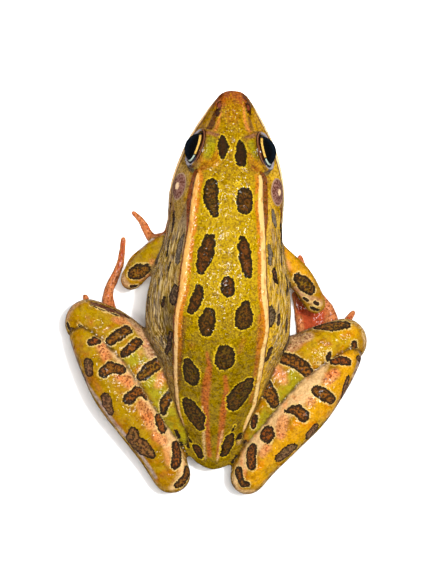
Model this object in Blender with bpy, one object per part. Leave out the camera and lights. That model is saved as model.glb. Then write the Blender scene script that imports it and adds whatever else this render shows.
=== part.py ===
"""A leopard frog at rest, life size, in the crouch of the photograph.

The frog faces -Y with its left side at +X, and stands on the floor at z = 0. Every length in
this file is in millimetres until a mesh is made. Distances along the body count from the snout
tip backwards, and heights count from the floor.
"""

import math

import bmesh
import bpy
from mathutils import Matrix, Vector
from mathutils.bvhtree import BVHTree

MM = 0.001
GAP = 0.3
LEAST_KEPT = 0.3
SLIVERS = (0.02, 0.005, 0.001)
FLOOR_REACH = 80
FLOOR_DEPTH = 20
SNOUT_Y = -39.4
BODY_LENGTH = 75.7
NECK = 25.4

# Lines of the head and trunk: (distance behind the snout tip, value) in millimetres.
BACK_HEIGHT = (
    (0, 20.4), (0.15, 21.5), (0.5, 22.15), (1, 22.55), (2, 23.05), (3.5, 23.55), (6, 24.25),
    (9, 25.1), (12, 25.9), (15, 26.7), (18, 27.4), (22, 28.0), (27, 28.4), (33, 28.5),
    (39, 28.2), (44, 27.6), (48, 26.6), (52, 24.9), (57, 21.9), (62, 18.5), (67, 15.0),
    (71, 12.3), (74, 10.3), (75.3, 9.2), (BODY_LENGTH, 8.2),
)
BELLY_HEIGHT = (
    (0, 20.4), (0.15, 19.6), (0.5, 19.0), (1, 18.5), (2, 17.8), (5, 16.0), (10, 13.7),
    (15, 11.7), (20, 9.9), (25, 8.0), (30, 5.9), (35, 3.7), (40, 1.6), (44, 0.1), (50, -0.7),
    (60, -0.7), (65, 0.4), (70, 2.6), (74, 5.6), (75.3, 7.1), (BODY_LENGTH, 8.2),
)
HALF_WIDTH = (
    (0, 0), (0.15, 1.3), (0.5, 2.05), (1, 2.6), (2, 3.4), (4, 4.9), (6, 6.15), (8, 7.3),
    (10, 8.4), (12, 9.2), (14, 9.9), (16, 10.5), (18, 10.95), (20, 11.3), (22, 11.45),
    (26, 11.5), (30, 11.8), (35, 13.1), (40, 14.22), (44, 14.52), (48, 14.4), (51, 12.9),
    (54, 11.3), (57, 10.3), (60, 9.6), (64, 8.6), (68, 7.3), (72, 5.5), (74.3, 3.5),
    (75.3, 1.8), (BODY_LENGTH, 0),
)
# How much further the left flank bulges than the right one, halved.
FLANK_LEAN = ((28, 0), (34, 0.27), (38, 0.45), (46, 0.45), (51, 0.2), (55, 0))
# The frog holds its snout a little to its right.
MIDLINE = ((0, -0.36), (4, -0.36), (8, -0.34), (12, -0.32), (16, -0.2), (22, -0.06), (28, 0))
WIDEST_HEIGHT = (
    (0, 20.4), (1, 20.1), (2, 19.9), (5, 19.2), (10, 18.1), (15, 16.9), (20, 15.6),
    (25, 14.4), (30, 13.4), (36, 12.4), (45, 11.0), (55, 9.4), (65, 8.0), (72, 7.8),
    (BODY_LENGTH, 8.2),
)
# The canthus of the snout, which runs on behind the eye as the dorsolateral fold.
FOLD_SIDE = (
    (0, 0), (0.5, 1.15), (1, 1.5), (2, 1.9), (3.5, 2.2), (6, 2.5), (8, 2.8), (10, 3.3),
    (12, 4.0), (14, 4.9), (17, 5.8), (20, 6.15), (24, 6.6), (28, 7.1), (34, 7.8), (38, 8.3),
    (43, 8.65), (47, 8.7), (51, 8.55), (55, 8.3), (58.5, 7.8), (62.6, 7.1), (66, 6.2),
    (70, 4.8), (73, 3.2), (75.3, 1.2), (BODY_LENGTH, 0),
)
FOLD_DROP = (
    (0, 0), (0.5, 0.25), (1, 0.35), (3.5, 0.45), (8, 0.7), (12, 1.0), (17, 1.5), (22, 1.9),
    (28, 2.2), (36, 2.5), (44, 2.9), (50, 3.4), (56, 3.9), (62, 4.0), (68, 3.4), (73, 1.9),
    (BODY_LENGTH, 0),
)
# How full the flank is between the fold and the widest line, across and in height.
FLANK_ACROSS = ((0, 0.6), (12, 0.6), (20, 0.66), (30, 0.75), (44, 0.8), (60, 0.76), (75.7, 0.7))
FLANK_HEIGHT = ((0, 0.55), (10, 0.5), (20, 0.5), (30, 0.55), (44, 0.6), (60, 0.58), (75.7, 0.5))
FOLD_RISE = ((0, 0.0), (14, 0.0), (18, 0.35), (30, 0.45), (60, 0.4), (66, 0.2), (69, 0.0))
FOLD_ROWS = (-1.3, -0.6, 0.0, 0.6, 1.3)
FOLD_SPREAD = 0.55
LIP_RISE = ((0, 0.1), (0.3, 0.2), (1.5, 0.36), (16, 0.38), (20, 0.2), (23, 0.0))
MOUTH_DEPTH = ((0, 0.0), (0.3, 0.3), (1.5, 0.62), (17, 0.62), (19.5, 0.4), (21, 0.0))
LIP_ROWS = (-0.8, -0.35, 0.0, 0.35, 0.8)
LIP_SPREAD = ((0, 0.6), (3, 1.0), (22, 1.0), (32, 3.4), (66, 3.0), (BODY_LENGTH, 0.8))
MOUTH_SPREAD = 0.26
HEAD_STEP = 1.5
TORSO_STEP = 2.7
LIP_REACH = 1.1

EYE_BEHIND = 12.2
EYE_SIDE = 5.5
EYE_HEIGHT = 24.2
EYE_RADIUS = 3.4
LID_THICKNESS = 0.6
LID_PLANE = 1.7
EYE_FORWARD = math.radians(17)
EYE_UPWARD = math.radians(22)

NOSTRIL_BEHIND = 3.3
NOSTRIL_SIDE = 2.9
NOSTRIL_RIM = (0.8, 1.05, 0.42)
NOSTRIL_PIT = (0.38, 0.55, 0.62)

EARDRUM_BEHIND = 19.0
EARDRUM_HEIGHT = 20.3
EARDRUM_RADIUS = 2.35
EARDRUM_HALF_DEPTH = 0.62

# Limb lines: (side, y, height, half width, half height) of each control point, in millimetres.
# Side is to the frog's left; the right limbs have their own lines, as the pose isn't mirrored.
UPPER_ARM = {
    "left": ((9.1, -9.5, 12.8, 2.6, 3.1), (13.8, -6.7, 11.0, 2.6, 2.8), (18.3, -1.4, 8.3, 2.4, 2.5)),
    "right": ((-8.6, -9.4, 12.8, 2.7, 3.1), (-12.1, -6.4, 11.4, 2.6, 2.8),
              (-15.7, -3.3, 9.8, 2.7, 2.6), (-19.0, 1.6, 7.9, 2.3, 2.4)),
}
FOREARM = {
    "left": ((18.1, -1.8, 7.0, 2.2, 2.3), (17.1, -4.5, 5.8, 2.3, 2.4), (15.4, -6.7, 4.2, 1.9, 2.0),
             (14.0, -8.8, 2.6, 1.5, 1.4)),
    "right": ((-18.5, 1.2, 6.8, 2.1, 2.2), (-15.6, -3.2, 4.9, 2.3, 2.3), (-12.3, -7.4, 2.7, 1.5, 1.4)),
}
PALM = {
    "left": ((14.2, -9.0, 2.3, 1.5, 1.2), (13.0, -9.4, 1.6, 1.9, 1.25), (11.7, -9.6, 1.2, 1.8, 1.0)),
    "right": ((-12.3, -7.4, 2.3, 1.4, 1.2), (-10.9, -9.0, 1.6, 1.9, 1.25), (-9.8, -10.3, 1.2, 1.8, 1.0)),
}
# Fingers from the innermost to the outermost: (side, y) of the root, the joints and the tip.
FINGERS = {
    "left": (
        ((11.6, -8.6), (8.6, -7.8), (5.8, -7.2)),
        ((11.4, -9.6), (8.2, -11.6), (5.2, -13.4)),
        ((11.5, -10.0), (10.9, -14.2), (9.6, -18.4)),
        ((13.2, -9.2), (15.0, -10.1), (16.4, -12.4), (17.3, -13.7), (18.8, -15.0)),
    ),
    "right": (
        ((-9.8, -9.2), (-7.1, -8.4), (-4.4, -8.0)),
        ((-9.6, -10.4), (-6.6, -11.8), (-3.8, -13.2)),
        ((-9.8, -11.0), (-8.2, -14.4), (-6.4, -18.0)),
        ((-10.6, -10.4), (-10.6, -13.4), (-10.0, -16.6)),
    ),
}
FINGER_RADIUS = (1.08, 0.56)

THIGH = {
    "left": ((4.9, 27.4, 6.8, 4.6, 4.6), (8.8, 22.8, 7.7, 5.4, 5.4), (12.9, 18.4, 8.2, 5.6, 5.7),
             (17.4, 13.6, 8.1, 5.5, 5.5), (22.0, 9.7, 7.9, 5.2, 5.0), (26.9, 7.6, 7.8, 4.8, 4.4)),
    "right": ((-4.5, 27.2, 6.8, 4.6, 4.6), (-8.0, 22.2, 7.7, 5.4, 5.4), (-11.6, 17.7, 8.2, 5.6, 5.7),
              (-16.2, 13.7, 8.1, 5.5, 5.5), (-20.9, 11.0, 7.9, 5.2, 5.0), (-25.5, 8.8, 7.8, 4.7, 4.4)),
}
SHANK = {
    "left": ((27.0, 10.7, 9.4, 3.2, 3.2), (25.0, 13.8, 10.2, 3.9, 4.0), (22.6, 17.0, 10.7, 4.7, 4.5),
             (20.3, 20.3, 10.8, 5.2, 4.7), (17.9, 23.5, 10.4, 5.2, 4.7), (15.5, 26.7, 9.8, 4.9, 4.5),
             (13.2, 29.9, 9.0, 4.6, 4.3), (10.8, 33.1, 8.1, 4.4, 4.0), (8.1, 37.8, 7.0, 4.0, 3.7)),
    "right": ((-26.2, 12.1, 9.4, 2.7, 3.1), (-24.3, 15.0, 10.2, 3.4, 3.9), (-21.8, 18.1, 10.7, 4.2, 4.4),
              (-19.3, 21.2, 10.8, 4.8, 4.6), (-16.9, 24.4, 10.4, 4.8, 4.6), (-14.4, 27.5, 9.8, 4.5, 4.4),
              (-11.9, 30.6, 9.0, 4.3, 4.2), (-9.3, 33.7, 8.1, 4.1, 4.0), (-7.1, 37.4, 7.0, 3.7, 3.6)),
}
TARSUS = {
    "left": ((8.0, 37.9, 3.6, 2.6, 2.6), (10.1, 33.4, 2.6, 2.2, 2.1), (13.4, 27.4, 2.3, 2.0, 1.9),
             (16.6, 22.4, 2.0, 2.2, 1.8)),
    "right": ((-6.6, 37.8, 3.6, 2.6, 2.6), (-9.2, 33.2, 2.6, 2.2, 2.1), (-12.8, 27.4, 2.3, 2.0, 1.9),
              (-16.0, 22.6, 2.0, 2.2, 1.8)),
}
SOLE = {
    "left": ((16.4, 22.8, 1.6, 2.1, 1.5), (17.4, 20.6, 1.4, 2.6, 1.4), (18.3, 18.0, 1.2, 2.3, 1.2)),
    "right": ((-15.8, 23.0, 1.6, 2.1, 1.5), (-16.8, 20.8, 1.4, 2.6, 1.4), (-17.8, 18.2, 1.2, 2.3, 1.2)),
}
# Toes from the first, innermost one to the fifth: (side, y) of the root, the joints and the tip.
TOES = {
    "left": (
        ((16.4, 21.6), (13.6, 19.6), (11.8, 17.6)),
        ((16.8, 20.4), (14.2, 16.4), (12.6, 13.2)),
        ((17.6, 19.6), (16.9, 14.6), (15.6, 10.4)),
        ((18.4, 19.4), (21.4, 12.0), (23.2, 2.9), (22.3, -0.8), (20.9, -4.7), (20.6, -9.5)),
        ((18.4, 20.4), (23.2, 12.6), (27.8, 2.6)),
    ),
    "right": (
        ((-15.8, 21.8), (-13.6, 19.2), (-12.6, 16.4)),
        ((-16.2, 20.6), (-14.6, 15.4), (-13.8, 11.2)),
        ((-17.0, 19.8), (-17.2, 12.0), (-16.3, 5.2), (-14.9, 0.0)),
        ((-17.8, 19.6), (-21.2, 12.0), (-22.9, 4.2), (-20.6, 0.9), (-17.6, -3.2), (-15.7, -7.6)),
        ((-17.8, 20.6), (-22.6, 12.8), (-25.7, 5.6), (-27.1, 3.2)),
    ),
}
TOE_RADIUS = (1.38, 0.62)
# How far each web reaches along the toe before it and the toe after it, as shares of their lengths.
WEBS = {
    "left": ((0.75, 0.62), (0.78, 0.66), (0.86, 0.52), (0.56, 0.8)),
    "right": ((0.75, 0.7), (0.9, 0.72), (0.92, 0.7), (0.58, 0.72)),
}
WEB_LEVELS = (0.5, 0.56, 0.62, 0.53)
WEB_THICKNESS = 0.55
WEB_NOTCH = 0.28

SKIN_COLOUR = (0.42, 0.40, 0.04)
LIMB_COLOUR = (0.50, 0.36, 0.07)
EYE_COLOUR = (0.02, 0.02, 0.02)
EARDRUM_COLOUR = (0.30, 0.20, 0.19)


def curve(line, at):
    """The value of a line of (place, value) points at a place, by a cubic that never overshoots."""
    if at <= line[0][0]:
        return line[0][1]
    if at >= line[-1][0]:
        return line[-1][1]
    last = len(line) - 2
    i = next(k for k in range(last + 1) if at <= line[k + 1][0])

    def slope(k):
        return (line[k + 1][1] - line[k][1]) / (line[k + 1][0] - line[k][0])

    def tangent(k):
        if k == 0:
            return slope(0)
        if k > last:
            return slope(last)
        before, after = slope(k - 1), slope(k)
        if before * after <= 0:
            return 0.0
        return 2 * before * after / (before + after)

    span = line[i + 1][0] - line[i][0]
    t = (at - line[i][0]) / span
    low, high = line[i][1], line[i + 1][1]
    return (
        low * (1 + 2 * t) * (1 - t) ** 2
        + high * t * t * (3 - 2 * t)
        + span * tangent(i) * t * (1 - t) ** 2
        - span * tangent(i + 1) * t * t * (1 - t)
    )


def through(points, i, t):
    """A point on the smooth line through the points, at share t between point i and the next."""
    count = len(points) - 1
    a, b = points[max(i - 1, 0)], points[i]
    c, d = points[min(i + 1, count)], points[min(i + 2, count)]
    return [
        0.5 * (2 * q + (r - p) * t + (2 * p - 5 * q + 4 * r - s) * t * t + (3 * q - p - 3 * r + s) * t ** 3)
        for p, q, r, s in zip(a, b, c, d)
    ]


def along(points, share):
    """The point at a share, from 0 to 1, of the way along the line through the points."""
    place = share * (len(points) - 1)
    i = min(int(place), len(points) - 2)
    return through(points, i, place - i)


def half_section(behind, side, fine):
    """One half of the body's cross-section, (side, height) from the back to the belly."""
    back, belly = curve(BACK_HEIGHT, behind), curve(BELLY_HEIGHT, behind)
    wide = curve(HALF_WIDTH, behind) + side * curve(FLANK_LEAN, behind)
    level = curve(WIDEST_HEIGHT, behind)
    fold = Vector((curve(FOLD_SIDE, behind), back - curve(FOLD_DROP, behind)))
    across, up = curve(FLANK_ACROSS, behind), curve(FLANK_HEIGHT, behind)
    rails = [
        Vector((0, back)),
        Vector((0.52 * fold.x, back - 0.27 * (back - fold.y))),
        fold,
        Vector((fold.x + across * (wide - fold.x), level + up * (fold.y - level))),
        Vector((wide, level)),
        Vector((0.8 * wide, belly + 0.27 * (level - belly))),
        Vector((0.42 * wide, belly + 0.04 * (level - belly))),
        Vector((0, belly)),
    ]

    def at(rail, share):
        mirrored = [Vector((-rails[1].x, rails[1].y)), *rails, Vector((-rails[-2].x, rails[-2].y))]
        return Vector(through(mirrored, rail + 1, share))

    def near(rail, offset):
        step = offset / max((rails[rail + (1 if offset > 0 else -1)] - rails[rail]).length, 1e-6)
        step = max(-0.45, min(0.45, step))
        return at(rail, step) if step >= 0 else at(rail - 1, 1 + step)

    rows = [at(0, 0), at(1, 0)]
    rows += [near(2, offset) for offset in (FOLD_ROWS if fine else FOLD_ROWS[::2])]
    rows += [at(2, 0.55), at(3, 0), at(3, 0.5)]
    if fine:
        rows += [near(4, offset * curve(LIP_SPREAD, behind)) for offset in LIP_ROWS]
    else:
        rows += [at(4, 0)]
    rows += [at(4, 0.6), at(5, 0), at(6, 0), at(7, 0)]
    return rows


def raise_rows(rows, behind, fine):
    """Raises the fold and the lips and sinks the line of the mouth in a half cross-section."""
    size = min(1.0, behind / 2.0)
    fold_at, mouth_at = (4, 12) if fine else (3, 8)
    centre = Vector((0, curve(WIDEST_HEIGHT, behind)))
    fold, mouth = rows[fold_at].copy(), rows[mouth_at].copy()
    spread = MOUTH_SPREAD * size + 0.02
    for k, point in enumerate(rows):
        out = (point - centre).normalized()
        rise = curve(FOLD_RISE, behind) * math.exp(-(((point - fold).length / FOLD_SPREAD) ** 2))
        lip = curve(LIP_RISE, behind) * math.exp(-(((point - mouth).length / LIP_REACH) ** 2))
        sink = curve(MOUTH_DEPTH, behind) * size * math.exp(-(((point - mouth).length / spread) ** 2))
        rows[k] = point + out * rise + Vector((lip - sink, 0))
    return rows


def section_places(fine):
    """Distances behind the snout tip of the cross-sections, closest together at both ends."""
    places, at = [], 0.15
    while at < BODY_LENGTH - 0.3:
        places.append(at)
        widest = HEAD_STEP if fine else TORSO_STEP
        at += min(widest, 0.3 + 0.24 * at, 0.35 + 0.24 * (BODY_LENGTH - at))
    return places


def trunk_form(fine):
    """The head and the trunk in one, as rings of points joined by faces."""
    rings = []
    for behind in section_places(fine):
        left, right = (raise_rows(half_section(behind, side, fine), behind, fine) for side in (1, -1))
        middle, y = curve(MIDLINE, behind), SNOUT_Y + behind
        ring = [Vector((middle + p.x, y, p.y)) for p in left]
        ring += [Vector((middle - p.x, y, p.y)) for p in reversed(right[1:-1])]
        rings.append(ring)
    tips = [
        Vector((curve(MIDLINE, behind), SNOUT_Y + behind, curve(WIDEST_HEIGHT, behind)))
        for behind in (0, BODY_LENGTH)
    ]
    return skinned(rings, *tips)


def skinned(rings, first_tip, last_tip):
    """A closed bmesh over rings of points, ending in a tip at either end."""
    bm = bmesh.new()
    loops = [[bm.verts.new(p * MM) for p in ring] for ring in rings]
    count = len(loops[0])
    for before, after in zip(loops, loops[1:]):
        for k in range(count):
            m = (k + 1) % count
            bm.faces.new((before[k], before[m], after[m], after[k]))
    for loop, tip in ((loops[0], first_tip), (loops[-1], last_tip)):
        point = bm.verts.new(tip * MM)
        for k in range(count):
            bm.faces.new((point, loop[(k + 1) % count], loop[k]))
    bmesh.ops.recalc_face_normals(bm, faces=bm.faces)
    return outward(bm)


def outward(bm):
    """The same form with its faces pointing outwards."""
    if bm.calc_volume(signed=True) < 0:
        bmesh.ops.reverse_faces(bm, faces=bm.faces)
    return bm


def tube_form(line, rings=12, sides=14, cap_rings=3, swell=0.0, joints=()):
    """A limb's length: an oval tube along the line's control points, with rounded ends.

    The tube swells by the share `swell` at each of the shares of its length in `joints`.
    """
    stations = [along(line, k / (rings - 1)) for k in range(rings)]
    places = [Vector(s[:3]) for s in stations]
    found = []
    for k, station in enumerate(stations):
        forward = (places[min(k + 1, rings - 1)] - places[max(k - 1, 0)]).normalized()
        share = k / (rings - 1)
        grow = 1 + swell * sum(math.exp(-(((share - j) / 0.07) ** 2)) for j in joints)
        found.append((places[k], forward, station[3] * grow, station[4] * grow))

    def ring(place, forward, wide, high):
        side = forward.cross(Vector((0, 0, 1))).normalized()
        up = side.cross(forward)
        turns = (2 * math.pi * k / sides for k in range(sides))
        return [place + side * wide * math.cos(a) + up * high * math.sin(a) for a in turns]

    def cap(end, outward):
        place, forward, wide, high = end
        reach = min(wide, high)
        turns = (math.pi / 2 * k / (cap_rings + 1) for k in range(1, cap_rings + 1))
        found_rings = [
            ring(place + forward * outward * reach * math.sin(a), forward, wide * math.cos(a), high * math.cos(a))
            for a in turns
        ]
        return found_rings, place + forward * outward * reach

    start, start_tip = cap(found[0], -1)
    finish, finish_tip = cap(found[-1], 1)
    body = [ring(*station) for station in found]
    return skinned([*reversed(start), *body, *finish], start_tip, finish_tip)


def ball_form(centre, radii, turn=None, segments=20, rings=12):
    """An ellipsoid with its poles on its own Z axis, turned by a matrix and put at its centre."""
    bm = bmesh.new()
    bmesh.ops.create_uvsphere(bm, u_segments=segments, v_segments=rings, radius=1.0)
    place = Matrix.Translation(Vector(centre) * MM) @ (turn or Matrix()).to_4x4()
    bmesh.ops.transform(bm, matrix=place @ Matrix.Diagonal((*[r * MM for r in radii], 1)), verts=bm.verts)
    return bm


def rod_form(start, outward, length, radius, segments=24):
    """A round rod from a point outwards."""
    bm = bmesh.new()
    bmesh.ops.create_cone(
        bm, cap_ends=True, segments=segments, radius1=radius * MM, radius2=radius * MM, depth=length * MM
    )
    middle = Vector(start) + outward * length / 2
    turn = outward.to_track_quat("Z", "Y").to_matrix().to_4x4()
    bmesh.ops.transform(bm, matrix=Matrix.Translation(middle * MM) @ turn, verts=bm.verts)
    return bm


def plate_form(outline, low, high):
    """A flat plate over an outline of (side, y) points, between two heights."""
    bm = bmesh.new()
    face = bm.faces.new([bm.verts.new(Vector((x, y, low)) * MM) for x, y in outline])
    made = bmesh.ops.extrude_face_region(bm, geom=[face])
    top = [v for v in made["geom"] if isinstance(v, bmesh.types.BMVert)]
    bmesh.ops.translate(bm, vec=Vector((0, 0, (high - low) * MM)), verts=top)
    bmesh.ops.recalc_face_normals(bm, faces=bm.faces)
    return outward(bm)


def cut_by_plane(bm, point, normal):
    """Cuts away what lies on the normal's side of a plane and closes the cut with a flat face."""
    geometry = [*bm.verts, *bm.edges, *bm.faces]
    bmesh.ops.bisect_plane(
        bm, geom=geometry, dist=1e-7, plane_co=Vector(point) * MM, plane_no=normal, clear_outer=True
    )
    rim = [e for e in bm.edges if e.is_boundary]
    bmesh.ops.holes_fill(bm, edges=rim, sides=0)
    bmesh.ops.triangulate(bm, faces=[f for f in bm.faces if len(f.verts) > 4])
    return bm


def below_floor():
    """A slab whose top is the floor; cutting it from a part leaves the flats that it stands on."""
    outline = ((-FLOOR_REACH, -FLOOR_REACH), (FLOOR_REACH, -FLOOR_REACH),
               (FLOOR_REACH, FLOOR_REACH), (-FLOOR_REACH, FLOOR_REACH))
    return plate_form(outline, -FLOOR_DEPTH, 0)


def grown(bm, by):
    """A copy of a form with its surface moved outwards."""
    copy = bm.copy()
    copy.normal_update()
    moves = [(v, v.normal * by * MM) for v in copy.verts]
    for v, move in moves:
        v.co += move
    return copy


def material(name, colour, roughness):
    """A Principled material of one colour."""
    made = bpy.data.materials.new(name)
    made.use_nodes = True
    shader = made.node_tree.nodes["Principled BSDF"]
    shader.inputs["Base Color"].default_value = (*colour, 1)
    shader.inputs["Roughness"].default_value = roughness
    shader.inputs["Metallic"].default_value = 0.0
    return made


def as_object(name, bm):
    """A mesh object from a form, in the scene."""
    mesh = bpy.data.meshes.new(name)
    bm.to_mesh(mesh)
    obj = bpy.data.objects.new(name, mesh)
    bpy.context.scene.collection.objects.link(obj)
    return obj


def is_closed(bm):
    """Whether every edge of a mesh joins two faces."""
    return len(bm.faces) > 3 and all(len(e.link_faces) == 2 for e in bm.edges)


def combine(obj, form, operation):
    """Joins a form to an object's mesh, or cuts it away, with the first solver that does it soundly."""
    before = measured(obj.data)[1]
    operand = as_object("operand", form)
    for solver in ("EXACT", "MANIFOLD"):
        modifier = obj.modifiers.new(operation, "BOOLEAN")
        modifier.operation = operation
        modifier.solver = solver
        modifier.object = operand
        bpy.context.view_layer.update()
        graph = bpy.context.evaluated_depsgraph_get()
        result = bpy.data.meshes.new_from_object(obj.evaluated_get(graph))
        obj.modifiers.clear()
        closed, volume = measured(result)
        if closed and LEAST_KEPT * before < volume:
            break
    obj.data = result
    bpy.data.objects.remove(operand)


def measured(mesh):
    """Whether a mesh is closed, and its volume."""
    bm = bmesh.new()
    bm.from_mesh(mesh)
    found = is_closed(bm), bm.calc_volume()
    bm.free()
    return found


def largest_island(bm):
    """The faces of the largest connected surface of a mesh."""
    left, islands = set(bm.faces), []
    while left:
        seed = left.pop()
        island, front = {seed}, [seed]
        while front:
            face = front.pop()
            for near in (f for e in face.edges for f in e.link_faces if f in left):
                left.discard(near)
                island.add(near)
                front.append(near)
        islands.append(island)
    return max(islands, key=lambda island: sum(f.calc_area() for f in island))


def keep_largest(obj):
    """Keeps only the largest closed surface of an object's mesh, in triangles without slivers."""
    bm = bmesh.new()
    bm.from_mesh(obj.data)
    kept = largest_island(bm)
    bmesh.ops.delete(bm, geom=[f for f in bm.faces if f not in kept], context="FACES")
    bmesh.ops.triangulate(bm, faces=bm.faces)
    bm.to_mesh(obj.data)
    for distance in SLIVERS:
        cleaned = bm.copy()
        bmesh.ops.remove_doubles(cleaned, verts=cleaned.verts, dist=distance * MM)
        bmesh.ops.dissolve_degenerate(cleaned, edges=cleaned.edges, dist=distance * MM)
        bmesh.ops.triangulate(cleaned, faces=cleaned.faces)
        if is_closed(cleaned):
            cleaned.to_mesh(obj.data)
            break
    bm.free()


def node(name, form, look, joins=(), cuts=()):
    """A named sub-part: a form with others joined to it and others cut from it."""
    obj = as_object(name, form)
    for join in joins:
        combine(obj, join, "UNION")
    for cut in cuts:
        combine(obj, cut, "DIFFERENCE")
    keep_largest(obj)
    obj.data.materials.clear()
    obj.data.materials.append(look)
    obj.data.shade_smooth()
    obj.data.set_sharp_from_angle(angle=math.radians(50))
    return obj


def surface_point(bm, start, direction):
    """Where a straight line first meets a form, and the surface's normal there."""
    tree = BVHTree.FromBMesh(bm)
    point, normal, _, _ = tree.ray_cast(Vector(start) * MM, Vector(direction))
    return point / MM, normal


def eye_centre(side):
    """The centre of the left eye for side 1, or of the right eye for side -1."""
    return Vector((curve(MIDLINE, EYE_BEHIND) + side * EYE_SIDE, SNOUT_Y + EYE_BEHIND, EYE_HEIGHT))


def eye_direction(side):
    """The direction in which an eye looks: out, a little forward and up."""
    level = math.cos(EYE_UPWARD)
    return Vector((side * level * math.cos(EYE_FORWARD), -level * math.sin(EYE_FORWARD), math.sin(EYE_UPWARD)))


def on_skin(normal):
    """A turn that puts Z on the surface's normal and keeps X as level as it can."""
    return normal.to_track_quat("Z", "Y").to_matrix()


def make_head(form, look):
    """The head with its lids, nostrils and the seats of the eardrums, and the two eardrums' forms."""
    joins, cuts, eardrums = [], [], []
    lid_radius = EYE_RADIUS + GAP + LID_THICKNESS
    for side in (1, -1):
        centre, out = eye_centre(side), eye_direction(side)
        joins.append(ball_form(centre, (lid_radius,) * 3, on_skin(out), 20, 13))
        cuts.append(ball_form(centre, (EYE_RADIUS + GAP,) * 3, on_skin(out), 18, 11))
        cuts.append(rod_form(centre + out * LID_PLANE, out, lid_radius + 1, lid_radius + 0.4))

        middle = curve(MIDLINE, NOSTRIL_BEHIND)
        above = (middle + side * NOSTRIL_SIDE, SNOUT_Y + NOSTRIL_BEHIND, EYE_HEIGHT + 10)
        point, normal = surface_point(form, above, (0, 0, -1))
        turn = on_skin(normal)
        joins.append(ball_form(point, NOSTRIL_RIM, turn, 12, 8))
        cuts.append(ball_form(point + normal * NOSTRIL_RIM[2], NOSTRIL_PIT, turn, 10, 6))

        beside = (side * 30, SNOUT_Y + EARDRUM_BEHIND, EARDRUM_HEIGHT)
        point, normal = surface_point(form, beside, (-side, 0, 0))
        radii = (EARDRUM_RADIUS, EARDRUM_RADIUS, EARDRUM_HALF_DEPTH)
        eardrum = ball_form(point - normal * 0.2, radii, on_skin(normal), 16, 7)
        eardrums.append(eardrum)
        cuts.append(grown(eardrum, GAP))
    head = cut_by_plane(form.copy(), (0, SNOUT_Y + NECK, 0), Vector((0, 1, 0)))
    node("head", head, look, joins, cuts)
    return eardrums


def finger_line(points, radii, lift):
    """The line of a finger or toe that lies on the floor, thinner towards its tip."""
    count = len(points) - 1
    line = []
    for k, (x, y) in enumerate(points):
        radius = radii[0] + (radii[1] - radii[0]) * k / count
        line.append((x, y, radius * lift, radius, radius))
    return line


def digit_forms(digits, radii):
    """Fingers or toes as tubes, each a little swollen at its joints."""
    forms = []
    for points in digits:
        spans = len(points) - 1
        joints = [k / spans for k in range(1, spans)] + [0.97]
        forms.append(tube_form(finger_line(points, radii, 0.84), 2 * spans + 1, 8, 1, 0.14, joints))
    return forms


def web_form(before, after, shares, level):
    """The web between two toes, with a hollow front edge, at its own level above the floor."""
    low = [along(before, shares[0] * k / 5)[:2] for k in range(6)]
    high = [along(after, shares[1] * k / 5)[:2] for k in range(6)]
    root = [(a + b) / 2 for a, b in zip(low[0], high[0])]
    start, end = Vector(low[-1]), Vector(high[-1])
    sag = (Vector(root) - (start + end) / 2).normalized() * (end - start).length * WEB_NOTCH
    edge = [start.lerp(end, k / 4) + sag * math.sin(math.pi * k / 4) for k in range(1, 4)]
    outline = [*low, *[tuple(p) for p in edge], *reversed(high)]
    return plate_form(outline, level, level + WEB_THICKNESS)


def make_arm(side, trunk, look):
    """An upper arm, forearm and hand, each cut clear of what it grows from."""
    upper = tube_form(UPPER_ARM[side], 9, 12)
    fore = tube_form(FOREARM[side], 9, 12)
    node(f"{side}_upper_arm", upper, look, cuts=[grown(trunk, GAP)])
    node(f"{side}_forearm", fore, look, cuts=[grown(upper, GAP), grown(trunk, GAP)])
    palm = tube_form(PALM[side], 5, 10, 2)
    fingers = digit_forms(FINGERS[side], FINGER_RADIUS)
    node(f"{side}_hand", palm, look, fingers, [grown(fore, GAP), below_floor()])


def make_leg(side, trunk, look):
    """A thigh, shank, tarsus and webbed foot, each cut clear of what it grows from or lies against."""
    shank = tube_form(SHANK[side], 14, 14)
    thigh = tube_form(THIGH[side], 12, 16)
    tarsus = tube_form(TARSUS[side], 8, 10)
    node(f"{side}_shank", shank, look, cuts=[grown(trunk, GAP)])
    node(f"{side}_thigh", thigh, look, cuts=[grown(trunk, GAP), grown(shank, GAP)])
    node(f"{side}_tarsus", tarsus, look, cuts=[grown(shank, GAP), grown(thigh, GAP), below_floor()])
    sole = tube_form(SOLE[side], 5, 10, 2)
    toes = TOES[side]
    pieces = digit_forms(toes, TOE_RADIUS)
    pieces += [web_form(*web) for web in zip(toes, toes[1:], WEBS[side], WEB_LEVELS)]
    neighbours = [grown(form, GAP) for form in (tarsus, thigh, trunk)]
    node(f"{side}_foot", sole, look, pieces, [*neighbours, below_floor()])


def centre_on_floor():
    """Moves every part so that the origin is on the floor, under the middle of the whole."""
    parts = [o for o in bpy.context.scene.objects if o.type == "MESH"]
    corners = [v.co for o in parts for v in o.data.vertices]
    low = [min(c[k] for c in corners) for k in range(2)]
    high = [max(c[k] for c in corners) for k in range(2)]
    shift = Matrix.Translation((-(low[0] + high[0]) / 2, -(low[1] + high[1]) / 2, 0))
    for part in parts:
        part.data.transform(shift)


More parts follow.
